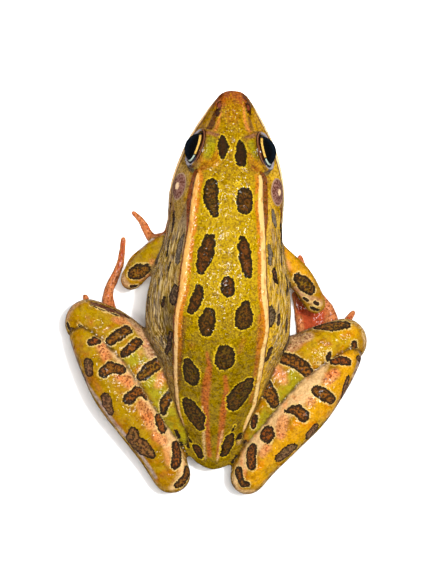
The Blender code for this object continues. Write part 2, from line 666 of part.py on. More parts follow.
def main():
    """Builds the frog, part by part."""
    for old in list(bpy.data.objects):
        bpy.data.objects.remove(old)
    skin = material("skin", SKIN_COLOUR, 0.4)
    limb_skin = material("limb_skin", LIMB_COLOUR, 0.4)
    eye_look = material("eye", EYE_COLOUR, 0.1)
    eardrum_look = material("eardrum", EARDRUM_COLOUR, 0.45)

    trunk = trunk_form(fine=False)
    torso = cut_by_plane(trunk.copy(), (0, SNOUT_Y + NECK + GAP, 0), Vector((0, -1, 0)))
    node("torso", torso, skin, cuts=[below_floor()])
    eardrums = make_head(trunk_form(fine=True), skin)
    for name, side, eardrum in zip(("left", "right"), (1, -1), eardrums):
        eye = ball_form(eye_centre(side), (EYE_RADIUS,) * 3, on_skin(eye_direction(side)), 16, 10)
        node(f"{name}_eye", eye, eye_look)
        node(f"{name}_eardrum", eardrum, eardrum_look)
        make_arm(name, trunk, limb_skin)
        make_leg(name, trunk, limb_skin)
    centre_on_floor()


main()
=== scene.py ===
"""The looks of a leopard frog that sits on a pale floor, seen from straight above.

The frog faces -Y with its left side at +X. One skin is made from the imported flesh, smoothed and
given its folds, lids and markings; the eyeballs and the eardrums are pieces of their own. Sizes in
this file are in millimetres until a mesh is made, and places in the picture are in its pixels.
"""

import logging
import math
from dataclasses import dataclass, field
from enum import Enum

import bmesh
import bpy
import numpy as np
from mathutils import Matrix, Vector, noise
from mathutils.bvhtree import BVHTree


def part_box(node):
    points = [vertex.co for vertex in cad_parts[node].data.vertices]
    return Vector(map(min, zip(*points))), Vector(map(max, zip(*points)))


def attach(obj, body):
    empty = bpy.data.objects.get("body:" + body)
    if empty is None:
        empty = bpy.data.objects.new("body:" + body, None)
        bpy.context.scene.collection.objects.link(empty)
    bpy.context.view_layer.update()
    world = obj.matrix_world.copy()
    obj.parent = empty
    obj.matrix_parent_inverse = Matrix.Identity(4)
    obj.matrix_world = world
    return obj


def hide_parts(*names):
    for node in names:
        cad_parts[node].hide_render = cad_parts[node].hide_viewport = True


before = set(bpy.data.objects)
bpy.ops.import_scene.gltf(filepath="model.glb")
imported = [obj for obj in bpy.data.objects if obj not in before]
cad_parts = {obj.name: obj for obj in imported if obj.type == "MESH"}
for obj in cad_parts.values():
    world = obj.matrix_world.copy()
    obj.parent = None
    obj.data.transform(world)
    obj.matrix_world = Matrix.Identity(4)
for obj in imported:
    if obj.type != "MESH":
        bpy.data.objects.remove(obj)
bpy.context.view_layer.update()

LOG = logging.getLogger("frog")
MM = 0.001
# The tip of the snout along Y, and the midline of the body along X.
SNOUT_Y = -40.45
MIDLINE_X = -0.759
# A distance that is beyond the reach of every marking.
FAR = 50.0
# How far the eyes' gaze is turned forward and up.
GAZE_FORWARD = math.radians(17)
GAZE_UP = math.radians(22)
# The light is this many times as bright as a white floor needs, so every paint is darker by it.
OVERLIT = 1.38
# How bright the line round a spot is on a limb, beside one on the back.
LIMB_HALO = 0.8


def linear(red: int, green: int, blue: int) -> tuple[float, float, float]:
    """A colour given as 8-bit screen values, in the linear values that shaders take.

    Args:
        red: The red value, 0 to 255.
        green: The green value.
        blue: The blue value.

    Returns:
        The three linear values, of a paint that looks so in the picture's light.
    """
    shares = (value / 255 for value in (red, green, blue))
    return tuple((s / 12.92 if s <= 0.04045 else ((s + 0.055) / 1.055) ** 2.4) / OVERLIT for s in shares)


class Paint(Enum):
    """The colours of the frog's skin."""

    BACK = linear(198, 158, 4)
    BACK_REAR = linear(158, 126, 2)
    CROWN = linear(178, 136, 4)
    SNOUT = linear(184, 96, 22)
    SNOUT_TOP = linear(184, 124, 16)
    SNOUT_DARK = linear(92, 40, 18)
    CHEEK = linear(198, 146, 8)
    # The left cheek's paint is the cheek's own, darkened: painted shade on the side away from the light.
    CHEEK_LEFT = linear(158, 112, 6)
    CANTHUS = linear(238, 150, 60)
    CANTHUS_SHADE = linear(92, 46, 8)
    LID = linear(170, 154, 12)
    LID_REAR = linear(214, 142, 26)
    LID_FRONT = linear(176, 116, 84)
    LID_RIM = linear(128, 72, 20)
    FLANK = linear(240, 188, 34)
    # The left flank's paint is the flank's own, darker and greyer: painted shade on the side away from the
    # light.
    FLANK_LEFT = linear(186, 146, 68)
    # A painted shadow, low on the left flank and in the crevice before the thigh.
    FLANK_DARK = linear(92, 68, 4)
    FLANK_GREY = linear(150, 122, 92)
    BELLY = linear(236, 222, 190)
    # The left fold's paints, here and behind, are darker than the right's: painted shade on the side away
    # from the light.
    FOLD_LEFT = linear(244, 182, 94)
    FOLD_RIGHT = linear(248, 206, 126)
    FOLD_LEFT_REAR = linear(240, 194, 128)
    FOLD_RIGHT_REAR = linear(250, 208, 132)
    # The left lip's paint is darker than the right's: painted shade on the side away from the light.
    LIP_LEFT = linear(252, 206, 144)
    LIP_RIGHT = linear(254, 226, 164)
    # Painted shade in the creases where the limbs meet the body and one another.
    CREASE = linear(58, 34, 14)
    SLATE = linear(66, 74, 90)
    NOSTRIL = linear(158, 76, 52)
    NOSTRIL_DARK = linear(60, 24, 12)
    LIP_EDGE = linear(92, 44, 22)
    EDGE_BROWN = linear(118, 56, 16)
    MUSTARD = linear(184, 132, 4)
    OLIVE = linear(186, 146, 4)
    LIME = linear(178, 160, 22)
    GOLD = linear(232, 166, 16)
    YELLOW = linear(204, 160, 8)
    CREAM = linear(255, 208, 144)
    PINK = linear(244, 164, 96)
    TAN = linear(224, 176, 124)
    # A pale lilac: a painted grazing sheen along the limbs' edges, and the rump's own pale skin.
    LILAC = linear(214, 194, 190)
    RUST = linear(194, 106, 40)
    DIGIT = linear(220, 136, 80)
    WEB = linear(186, 76, 38)
    UNDERSIDE = linear(232, 196, 160)
    MAROON = linear(104, 56, 38)


class Part(Enum):
    """The parts of the body that a marking may lie on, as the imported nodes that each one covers."""

    HEAD = ("head", "left_eardrum", "right_eardrum")
    TRUNK = ("head", "torso", "left_eardrum", "right_eardrum")
    LEFT_ARM = ("left_upper_arm", "left_forearm")
    RIGHT_ARM = ("right_upper_arm", "right_forearm")
    HANDS = ("left_hand", "right_hand")
    LEFT_THIGH = ("left_thigh",)
    RIGHT_THIGH = ("right_thigh",)
    LEFT_SHANK = ("left_shank", "left_tarsus")
    RIGHT_SHANK = ("right_shank", "right_tarsus")
    FEET = ("left_foot", "right_foot")


class Aim(Enum):
    """The side from which a marking's places are given."""

    ABOVE = "above"
    LEFT = "left"
    RIGHT = "right"


FLESH = tuple(sorted({name for part in Part for name in part.value}))


@dataclass(frozen=True)
class PictureCamera:
    """The camera of the picture, which looks straight down.

    Attributes:
        place: Where the camera is.
        roll: How far it is turned about its line of sight.
        focal: Its focal length in pixels.
        width: The picture's width in pixels.
        height: The picture's height in pixels.
    """

    place: tuple[float, float, float] = (-0.189, -1.052, 500.0)
    roll: float = math.radians(2.88)
    focal: float = 2440.0
    width: int = 438
    height: int = 581

    def axes(self) -> Matrix:
        """The camera's directions.

        Returns:
            Its right, up and back directions, as the columns of a matrix.
        """
        right = Vector((-math.cos(self.roll), -math.sin(self.roll), 0))
        up = Vector((math.sin(self.roll), -math.cos(self.roll), 0))
        return Matrix((right, up, (0, 0, 1))).transposed()

    def ray(self, x: float, y: float) -> tuple[Vector, Vector]:
        """The line of sight through a pixel.

        Args:
            x: The pixel's column.
            y: The pixel's row.

        Returns:
            Where the line starts, and its direction.
        """
        across = (x + 0.5 - self.width / 2) / self.focal
        down = (y + 0.5 - self.height / 2) / self.focal
        return Vector(self.place), (self.axes() @ Vector((across, -down, -1))).normalized()

    def pixel(self, height: float) -> float:
        """The width of a pixel on a level surface at a height."""
        return (self.place[2] - height) / self.focal

    def build(self) -> bpy.types.Object:
        """Makes the scene's camera.

        Returns:
            The camera.
        """
        data = bpy.data.cameras.new("picture_camera")
        data.sensor_fit = "VERTICAL"
        data.sensor_height = 36.0
        data.lens = self.focal * data.sensor_height / self.height
        data.clip_start = 0.01
        data.clip_end = 10.0
        camera = bpy.data.objects.new("picture_camera", data)
        bpy.context.scene.collection.objects.link(camera)
        camera.matrix_world = Matrix.Translation(Vector(self.place) * MM) @ self.axes().to_4x4()
        bpy.context.scene.camera = camera
        return camera


PICTURE = PictureCamera()


@dataclass(frozen=True)
class Stroke:
    """A soft-edged patch of one colour, along a path over the skin.

    Attributes:
        paint: Its colour.
        path: Its points, each a column, a row and a half width in pixels.
        soft: The width of its soft edge in millimetres.
        strength: How much it covers what is below it.
        speckle: How strongly it is speckled.
        part: The part of the body that it stays on.
    """

    paint: Paint
    path: tuple[tuple[float, float, float], ...]
    soft: float
    strength: float
    speckle: float = 0.0
    part: Part = Part.TRUNK


@dataclass(frozen=True)
class Spot:
    """A dark spot of the skin.

    Attributes:
        path: Its points, each a column, a row and a half width in pixels, or from a side a distance
            behind the snout, a height and a half width in millimetres.
        core: How olive its middle is, from 0, which is brown, to 1, or below 0 how dark it is.
        part: The part of the body that it stays on.
        grey: How grey it is.
        aim: The side from which its path is given.
    """

    path: tuple[tuple[float, float, float], ...]
    core: float
    part: Part = Part.TRUNK
    grey: float = 0.0
    aim: Aim = Aim.ABOVE

    def halo(self) -> float:
        """How bright the line round it is.

        Returns:
            Its brightness: full on the back, less on the limbs, and none round a grey spot.
        """
        if self.grey > 0:
            return 0.0
        return 1.0 if self.part is Part.TRUNK else LIMB_HALO


def spots(part: Part, *rows: tuple, aim: Aim = Aim.ABOVE) -> tuple[Spot, ...]:
    """Spots of one part of the body.

    Args:
        part: The part.
        rows: Each spot's path, how olive or dark its middle is and, where it is grey, how grey.
        aim: The side from which their paths are given.

    Returns:
        The spots.
    """
    return tuple(Spot(path, core, part, *grey, aim=aim) for path, core, *grey in rows)


def strokes(part: Part, *rows: tuple) -> tuple[Stroke, ...]:
    """Strokes on one part of the body.

    Args:
        part: The part.
        rows: Each stroke's paint, its path, how soft and how strong it is and, where it is speckled,
            how much.

    Returns:
        The strokes.
    """
    return tuple(Stroke(*row, part=part) for row in rows)


BACK_SPOTS = spots(
    Part.TRUNK,
    ((
        (222.1, 136, 1.6), (221.6, 140.5, 3.8), (221.6, 146.5, 5.2), (221.8, 152, 4.2), (222.2, 156.6, 2.0),
    ), -0.8),
    (((239, 140.2, 1.5), (240.1, 146.5, 3.6), (240.9, 153.5, 4.8), (240.9, 161.3, 5.4)), -0.8),
    ((
        (211, 183.5, 6.0), (210.3, 190.5, 8.0), (210, 198.5, 7.6), (212.7, 206.5, 5.8), (214.3, 213.5, 4.2),
    ), 0.75),
    (((244.2, 194.7, 8.0), (244.5, 200, 8.7), (244, 206, 8.0)), 0.5),
    ((
        (206, 235.4, 1.8), (212.6, 235.2, 1.8), (208.6, 242, 6.8), (205, 254.5, 8.6), (201.5, 264.5, 6.4),
        (200, 271, 4),
    ), 0.15),
    ((
        (239.4, 237.6, 2.2), (243.6, 236.8, 2.2), (243, 246, 6.4), (245.2, 258, 6.6), (246.8, 269, 5.6),
        (247.6, 273, 4.6),
    ), 0.1),
    (((227.4, 282.6, 6.9), (227.4, 290, 7.2)), 0.15),
    (((198.5, 287.5, 4.0), (198, 294.5, 6.0), (194.5, 302.5, 6.4), (191, 310, 4.6)), 0.3),
    (((208.5, 312.5, 6.0), (207, 320.5, 8.8), (205.5, 328.5, 7.7)), 0.6),
    (((245.5, 305.5, 5.0), (243.7, 313.5, 8.6), (243.3, 320, 9.4)), 0.6),
    (((224.5, 353.5, 9.8), (224.5, 361, 10.3)), 0.8),
    (((188, 362.5, 4.8), (190.4, 370.5, 7.8), (190.5, 377.5, 7.3)), 0.9),
    (((248, 381.8, 4.8), (242.5, 389.5, 8.6), (237, 398, 9.2), (235, 403.4, 7.6)), 0.9),
    (((189, 405, 6.2), (193.8, 414.5, 8.6), (198.5, 425.5, 5.3)), 0.9),
    (((197, 449, 4.6), (198.8, 454, 3.9)), 0.2),
    (((229.5, 437.2, 4.3), (227, 445.5, 5.6), (224.5, 452.5, 3.5)), 0.7),
    (((182.6, 427.5, 2.6),), 0.0),
    (((186, 436, 2.4), (189.5, 440, 1.6)), 0.0),
    (((187, 446, 1.8),), 0.0),
    (((178, 439, 1.4),), 0.0),
    (((173.5, 427, 1.5),), 0.0),
    (((243.6, 434.5, 2.2), (240, 437, 1.8)), 0.0),
    (((234, 425.5, 0.8), (232, 430, 0.8)), 0.0),
    (((237, 183, 1.3), (234.5, 183.4, 0.9)), 0.0),
    # Near-black marks with no bright line, where the thighs meet the rump: partly dark spots, partly painted
    # shade.
    (((181, 424, 1.3), (183.4, 428, 1.6)), -0.9, 0.05),
    (((186, 441, 1.4), (188, 447, 1.2)), -0.9, 0.05),
    (((185.6, 454, 1.8), (188.6, 459, 1.5)), -0.9, 0.05),
    (((239, 434, 1.6), (236.6, 438, 1.2)), -0.9, 0.05),
    (((236, 456, 1.6), (232.6, 461, 2.0)), -0.9, 0.05),
)

FLANK_SPOTS = spots(
    Part.TRUNK,
    (((183, 235, 1.0), (180, 243, 2.6), (177.4, 253.5, 2.8), (177.6, 260.5, 1.9)), 0.2, 0.8),
    (((174.6, 288, 3.3), (172.8, 296, 4.2), (172.6, 300.5, 3.0)), 0.6, 0.3),
    (((163.6, 297.5, 1.6), (162.4, 304.5, 1.8)), 0.1, 0.1),
    (((170, 333, 2.4), (168.5, 345, 2.8), (166, 352, 1.8)), 0.2, 0.3),
    (((169.6, 262, 1.0), (167.6, 270, 1.2)), 0.0, 0.1),
    (((272, 210.5, 1.7), (273.6, 218.5, 2.6), (275.2, 224, 1.7)), 0.1, 0.9),
    (((268.6, 245.5, 1.5), (270, 253.5, 2.7), (269.6, 261.5, 2.4)), 0.6, 0.9),
    (((273.6, 271, 2.2), (275, 276.5, 2.6), (276.6, 281.2, 1.6)), 0.1, 0.1),
    (((270.6, 308, 3.0), (272, 316, 3.6), (270.6, 323, 3.0)), 0.9, 0.4),
    (((278.5, 316, 1.8), (278.2, 322, 1.9)), 0.3, 0.3),
    (((286.2, 320.5, 2.1), (286.2, 328, 2.2)), 0.3, 0.3),
    (((270.6, 349, 2.1), (266.6, 358, 2.2)), 0.3, 0.3),
    (((280.4, 226.5, 2.0), (281.2, 235, 2.1), (280.8, 242.5, 1.5)), 0.0, 0.05),
    (((280.6, 250, 1.0), (281.4, 262, 1.4)), 0.0, 0.05),
    (((285.6, 275.5, 1.2), (286.8, 285, 1.5), (286.6, 293.5, 1.3)), 0.0, 0.05),
    (((173.4, 211.5, 0.8), (173.2, 219.5, 1.4), (171.6, 229.5, 1.5)), 0.0, 0.05),
    (((168.4, 240, 0.9), (166.6, 254, 1.1)), 0.0, 0.05),
)

ARM_SPOTS = spots(
    Part.LEFT_ARM,
    (((132.4, 273.4, 6.4), (138.5, 271.5, 7.8), (145, 268.5, 5.5)), 0.75),
    (((130.4, 286.3, 1.0), (135.2, 285.5, 1.4)), 0.0),
) + spots(
    Part.RIGHT_ARM,
    (((297, 277.2, 5.0), (303.8, 283.2, 7.8), (309.6, 289, 6.2)), 0.85),
    (((303.5, 297.5, 1.2), (307.5, 300.5, 1.4)), 0.0),
    (((313.5, 301.5, 1.4), (317.5, 304, 1.8)), 0.0),
    (((312, 307.5, 1.8), (317, 309.5, 1.6)), 0.0),
    (((303, 306.5, 1.0), (306, 311, 1.2)), 0.0),
)

THIGH_SPOTS = spots(
    Part.LEFT_THIGH,
    # Near-black marks with no bright line, where the thigh meets the rump: partly dark spots, partly painted
    # shade.
    (((175.4, 430, 1.4), (178.6, 437, 2.0)), -0.9, 0.05),
    (((174, 446, 1.6), (178, 451, 2.0), (181, 455, 1.5)), -0.9, 0.05),
    (((180.6, 442, 1.2), (182, 446, 1.3)), -0.9, 0.05),
    (((91, 304.6, 0.5), (98, 308, 0.6), (108, 312, 0.6), (118, 315.4, 0.6)), -0.9),
    (((109, 341, 4.8), (118, 334.6, 5.8), (126.6, 329.6, 5.3)), 0.6),
    (((124.2, 352.4, 4.8), (131, 347, 5.4), (137.6, 341.6, 5.2)), 0.3),
    (((141, 375.6, 5.6), (148.4, 368.6, 6.9), (157.8, 362.6, 6.2)), 0.7),
    (((173.4, 387, 2.6), (169, 395, 5.4), (163.5, 404, 5.2), (162.5, 413, 3)), 0.6),
    (((78.6, 323.6, 1.6), (81, 328.6, 3.0), (84.6, 330, 1.6)), 0.4),
    (((71.6, 331, 2.4), (75.4, 339.6, 3.4)), 0.2, 0.7),
    (((66.8, 322.6, 1.2), (68, 327, 1.3)), 0.0),
) + spots(
    Part.RIGHT_THIGH,
    # A near-black mark where the thigh meets the rump: partly a dark spot, partly painted shade.
    (((244.6, 440, 1.6), (241, 446, 1.8)), -0.9, 0.05),
    (((319.4, 326, 3.6), (331.6, 325, 5.0), (344.6, 324, 4.2)), 0.7),
    (((283.4, 357.8, 5.7), (292.4, 359.8, 6.8), (301.8, 365.8, 7.2), (307.6, 372.6, 5.8)), 0.45),
    (((264, 386.8, 6.7), (270.4, 393.8, 7.4), (273.8, 403.6, 5.6)), 0.5),
    (((254.2, 416, 3.4), (252.8, 426, 3.0)), 0.0),
    (((329, 353.4, 2.4), (327, 358, 2.8)), 0.0),
    (((353.6, 343, 3.0), (353.2, 347.6, 4.3)), 0.2),
    (((317.6, 363, 1.3),), 0.0),
)

SHANK_SPOTS = spots(
    Part.LEFT_SHANK,
    (((90.6, 342, 4.0), (96.2, 339.6, 4.4)), 0.0),
    (((103.8, 371.6, 6.0), (110.8, 366.8, 6.3), (120.6, 368.8, 4.9)), 0.45),
    (((128.2, 398.6, 6.0), (136.2, 391.2, 5.8), (143.6, 390.8, 5.3), (145.6, 396.2, 2.9)), 0.25),
    (((159.2, 418.4, 4.2), (161.6, 426.4, 5.0)), 0.15),
    (((175.4, 446, 4.0), (176.8, 454.6, 4.7), (176.2, 461.6, 4.9), (174.4, 464.8, 4.3)), 0.2),
    (((187, 470, 3.0), (185.2, 476.6, 3.6), (180.2, 482.8, 4.2), (177, 484.8, 3.3)), 0.5),
    (((87.2, 362.2, 4.7), (88.4, 371.6, 4.5)), 0.5, 0.35),
    (((79, 366, 1.4), (84, 378, 1.6)), 0.1, 0.7),
    (((105.2, 397.6, 5.2), (107.2, 405.6, 5.3), (109.8, 412.4, 3.3)), 0.4, 0.35),
    (((133, 431.8, 5.8), (132.4, 439.8, 6.8), (141.8, 447.6, 8.2), (150.6, 454.2, 5.0)), 0.6, 0.2),
) + spots(
    Part.RIGHT_SHANK,
    (((333.8, 360.4, 3.7), (340.8, 359.8, 4.8), (346.4, 361.4, 4.3)), 0.0),
    (((315.4, 390, 5.2), (322.8, 393.8, 6.4), (330.2, 398.4, 5.8)), 0.4),
    (((284.4, 410.8, 1.6), (290, 409.4, 4.0), (297, 409.4, 5.2), (303.2, 415.6, 6.3)), 0.3),
    (((266.6, 433.8, 7.1),), 0.1),
    (((251.4, 448.8, 4.7), (250.2, 456.6, 5.2), (250.8, 465.2, 4.8)), 0.2),
    (((237.4, 470, 3.7), (239.4, 477.8, 3.9), (242.4, 483.4, 3.7), (246.4, 483.8, 2.9)), 0.4),
    (((314.2, 426.8, 3.3), (309.6, 434.4, 3.5)), 0.5, 0.4),
    (((279.4, 457.4, 4.2), (285.8, 452.2, 5.2), (291.8, 447.6, 4.1)), 0.6, 0.4),
    (((330.4, 414.6, 1.0), (323, 422.6, 1.0)), 0.2, 0.5),
    (((347.6, 378.4, 2.0), (345, 386, 2.6), (342.4, 395, 1.8)), 0.4, 0.4),
    (((357.6, 357.6, 1.8), (359.6, 362, 1.9)), 0.4, 0.4),
)

# Spots low on the sides, which the picture doesn't show.
HIDDEN_SPOTS = spots(
    Part.TRUNK,
    (((31, 15.5, 1.5), (34, 15, 1.2)), 0.3, 0.5),
    (((45, 12, 1.7), (48, 11.5, 1.5)), 0.4, 0.5),
    (((53, 13.5, 1.4), (55, 14.5, 1.0)), 0.3, 0.5),
    (((37, 9.5, 1.0), (39, 9, 1.1)), 0.0, 0.5),
    (((28.5, 11.5, 0.9),), 0.0, 0.5),
    (((42, 16.5, 0.9),), 0.0, 0.5),
    aim=Aim.LEFT,
) + spots(
    Part.TRUNK,
    (((30, 15, 1.4), (32.5, 14, 1.3)), 0.3, 0.5),
    (((38.5, 12.5, 1.6), (41, 12, 1.4)), 0.4, 0.5),
    (((47.5, 13.5, 1.5), (50, 13.2, 1.3)), 0.3, 0.5),
    (((44, 8.5, 1.1),), 0.0, 0.5),
    (((35, 8.5, 0.9),), 0.0, 0.5),
    aim=Aim.RIGHT,
) + spots(
    Part.LEFT_SHANK,
    (((53, 7.2, 1.3), (55.5, 8.2, 1.1)), 0.4, 0.4),
    (((62, 6.6, 1.4), (65, 6.2, 1.3)), 0.4, 0.4),
    (((71, 5.6, 1.2), (73.5, 5.4, 1.0)), 0.4, 0.4),
    aim=Aim.LEFT,
) + spots(
    Part.RIGHT_SHANK,
    (((57.5, 7.4, 1.4), (60, 7.2, 1.2)), 0.4, 0.4),
    (((66.5, 6.4, 1.3), (69, 6, 1.2)), 0.4, 0.4),
    (((74.5, 5.6, 1.1),), 0.4, 0.4),
    aim=Aim.RIGHT,
) + spots(
    Part.LEFT_ARM,
    (((36, 7.6, 1.0), (38, 6.4, 0.9)), 0.2),
    aim=Aim.LEFT,
) + spots(
    Part.RIGHT_ARM,
    (((35, 6.0, 0.9), (36.5, 4.6, 0.8)), 0.2),
    aim=Aim.RIGHT,
) + spots(
    Part.LEFT_THIGH,
    (((44, 5.8, 1.1), (46.5, 5.4, 1.0)), 0.2, 0.2),
    aim=Aim.LEFT,
) + spots(
    Part.RIGHT_THIGH,
    (((46, 6.2, 1.1), (48.5, 5.6, 1.0)), 0.2, 0.2),
    aim=Aim.RIGHT,
)

SPOTS = BACK_SPOTS + FLANK_SPOTS + ARM_SPOTS + THIGH_SPOTS + SHANK_SPOTS + HIDDEN_SPOTS

HEAD_STROKES = strokes(
    Part.HEAD,
    (Paint.SNOUT, ((221, 99, 6), (231, 92, 8), (241, 98, 6)), 1.4, 1.0, 0.4),
    (Paint.SNOUT_TOP, ((231, 104, 7), (232, 116, 8)), 1.6, 0.9, 0.2),
    (Paint.SNOUT_DARK, ((219, 95, 2.2), (214, 101, 2.4), (211, 107, 2)), 0.6, 0.8, 0.3),
    (Paint.SNOUT_DARK, ((244, 96, 2.0), (249, 102, 2.2), (253, 108, 1.6)), 0.6, 0.8, 0.3),
    # The left cheek is painted darker than the right: painted shade.
    (Paint.CHEEK_LEFT, ((208, 112, 4), (200, 124, 5), (194, 133, 3)), 1.0, 0.95, 0.2),
    (Paint.CHEEK, ((256, 112, 4), (262, 122, 5), (268, 133, 4)), 1.0, 1.0, 0.2),
    (Paint.CANTHUS_SHADE, ((214.5, 112, 2.0), (213, 119, 2.8), (208.5, 128, 3.6)), 0.6, 0.9, 0.3),
    (Paint.CANTHUS_SHADE, ((248.5, 117, 1.4), (251, 127, 1.8)), 0.5, 0.7, 0.3),
    (Paint.CANTHUS, (
        (221.8, 103, 0.8), (220, 113, 1.1), (217.6, 122, 1.6), (214.5, 129.5, 1.8),
    ), 0.3, 0.95, 0.2),
    (Paint.CANTHUS, (
        (242, 101, 0.8), (243.3, 110, 1.1), (244.5, 121, 1.5), (247, 127, 1.7), (250, 131, 1.7),
    ), 0.3, 0.95, 0.2),
    (Paint.NOSTRIL_DARK, (
        (218.6, 102.5, 2.1), (218.4, 107, 2.9), (217.2, 112, 2.8), (217, 114, 1.8),
    ), 0.25, 0.95),
    (Paint.NOSTRIL, ((218.6, 104, 1.5), (218.8, 106, 1.5)), 0.25, 0.95),
    (Paint.NOSTRIL_DARK, ((248, 105.4, 2.4), (248.4, 109, 2.8), (249.4, 112.4, 1.6)), 0.25, 0.95),
    (Paint.NOSTRIL, ((247.8, 106.4, 1.3), (248, 108, 1.3)), 0.25, 0.95),
    (Paint.LID_REAR, ((203, 158, 6), (212, 159, 6), (217, 150, 3)), 1.2, 0.8, 0.3),
    (Paint.LID_REAR, ((262, 158, 6), (254, 162, 5), (249, 154, 3)), 1.2, 0.8, 0.3),
    (Paint.LID, ((210.5, 140, 6), (208.6, 148, 7), (207, 154, 5)), 1.2, 0.95),
    (Paint.LID, ((252, 143, 5), (255, 150, 6), (257.5, 156, 4)), 1.2, 0.95),
    (Paint.LID_FRONT, ((206, 132, 1.6), (213, 133, 2), (218, 134, 1.2)), 0.5, 0.85, 0.3),
    (Paint.LID_FRONT, ((259, 136, 1.6), (252, 135.4, 2), (246, 136, 1.2)), 0.5, 0.85, 0.3),
    (Paint.RUST, ((204, 166, 2.4), (199, 170, 2.2)), 0.8, 0.7, 0.3),
    (Paint.RUST, ((254, 168, 2.4), (258, 170, 2.2)), 0.8, 0.7, 0.3),
    (Paint.SLATE, ((190, 163.5, 2.2), (190.5, 168.5, 2.0)), 0.5, 0.9),
    (Paint.SLATE, ((270.5, 164.5, 2.2), (269.6, 169.5, 2.2)), 0.5, 0.9),
    (Paint.LID, ((195.4, 168.5, 2.0), (192.6, 172, 1.6)), 0.6, 0.7, 0.2),
    (Paint.CHEEK, (
        (190.6, 172, 1.4), (190, 184, 2.0), (187.4, 194, 1.8), (183.6, 200, 1.4),
    ), 0.4, 0.85, 0.1),
    (Paint.CHEEK, ((267.4, 176, 1.8), (270, 186, 2.2), (273, 200, 2.0), (277.6, 212, 2.2)), 0.4, 0.9, 0.1),
)

TRUNK_STROKES = strokes(
    Part.TRUNK,
    (Paint.FLANK_GREY, ((187, 202, 1.6), (184, 214, 2.6), (180, 228, 2.6)), 0.7, 0.7, 0.2),
    (Paint.GOLD, ((272, 228, 2.5), (274, 242, 3)), 0.9, 0.5, 0.1),
    (Paint.EDGE_BROWN, (
        (279.5, 203, 0.8), (281.4, 214, 1.5), (281.8, 226, 1.5), (281, 240, 0.9),
    ), 1.0, 0.85, 0.4),
    (Paint.EDGE_BROWN, (
        (172.4, 203, 0.9), (173.2, 215, 1.5), (172.4, 226, 1.3), (170.6, 238, 0.8),
    ), 1.0, 0.8, 0.4),
    (Paint.FLANK_GREY, ((190, 198, 2), (187.4, 212, 3), (184, 230, 3.4), (180.6, 250, 2.6)), 1.6, 0.7, 0.1),
    # A painted shadow low on the left flank, down into the crevice before the thigh.
    (Paint.FLANK_DARK, (
        (167, 300, 5), (168, 318, 8), (170, 338, 8), (173, 358, 6), (176, 385, 3),
    ), 2.4, 0.85, 0.1),
    (Paint.EDGE_BROWN, (
        (183.5, 318, 2.5), (181.6, 335, 2.6), (180.6, 352, 2.2), (179, 372, 1.3), (178.6, 392, 1),
    ), 1.0, 0.75),
    (Paint.RUST, (
        (259.4, 316, 2), (258.6, 340, 2.4), (256.4, 360, 1.8), (253, 385, 1.2), (250, 402, 1.2),
    ), 0.7, 0.8, 0.1),
    (Paint.RUST, (
        (206.5, 352, 1.2), (209, 366, 2.6), (206, 384, 4.4), (204.4, 400, 3.8), (206, 422, 2.6),
        (209, 455, 2.2),
    ), 0.5, 1.0, 0.1),
    (Paint.RUST, (
        (224.6, 376, 1.8), (226, 390, 2.6), (223, 408, 3.2), (221, 428, 2.8), (217.6, 456, 2.0),
    ), 0.5, 1.0, 0.1),
    (Paint.CREAM, ((201.8, 406, 0.7), (203, 426, 1.1), (203.4, 444, 1.1), (204.6, 458, 0.8)), 0.3, 0.75),
    (Paint.CREAM, ((221.6, 430, 0.7), (219.8, 446, 1.0), (217, 460, 0.8)), 0.3, 0.75),
    (Paint.RUST, ((191, 345, 3),), 1.0, 0.35),
    (Paint.RUST, ((243, 340, 3), (239, 352, 2)), 1.0, 0.35),
    (Paint.CREAM, ((239, 441, 2.2),), 0.7, 0.6),
    (Paint.CREAM, ((186, 433, 1.2),), 0.6, 0.5),
    (Paint.LILAC, ((188, 460, 2.0), (197, 465, 2.2), (206, 468, 1.6)), 0.6, 0.5, 0.5),
)

ARM_STROKES = strokes(
    Part.LEFT_ARM,
    (Paint.OLIVE, ((160, 244, 6), (148, 252, 7), (136, 262, 6)), 0.9, 1.0),
    # A painted highlight along the arm's upper edge.
    (Paint.LILAC, ((166, 230, 0.8), (152, 239, 1.3), (139, 249, 1.5), (128, 259, 1.2)), 0.4, 0.9, 0.2),
    (Paint.TAN, ((124, 266, 1.4), (122, 276, 2.0), (127, 285, 2.6), (136, 287, 2.2)), 0.6, 0.9, 0.6),
    (Paint.PINK, ((152, 262, 3),), 0.9, 0.8, 0.5),
    (Paint.PINK, ((141, 279, 1.8), (149, 275, 2.2)), 0.7, 0.9, 0.1),
) + strokes(
    Part.RIGHT_ARM,
    (Paint.GOLD, ((288, 254, 4), (295, 266, 6), (306, 280, 8)), 1.0, 1.0),
    (Paint.PINK, ((287.4, 263, 2.6), (289, 268, 2)), 0.9, 0.8, 0.3),
    (Paint.CREAM, ((300, 258, 0.8), (310, 269, 1.2), (318, 280, 1.6), (322, 290, 1.6)), 0.8, 0.8),
    (Paint.TAN, ((295, 288, 1.5), (304, 296, 3), (314, 301, 4), (320, 303, 3)), 0.8, 1.0, 0.3),
    # A painted sheen along the arm's outer edge by the elbow.
    (Paint.LILAC, ((321, 286, 0.8), (325, 296, 1.2), (325, 304, 1)), 0.4, 0.9, 0.2),
)

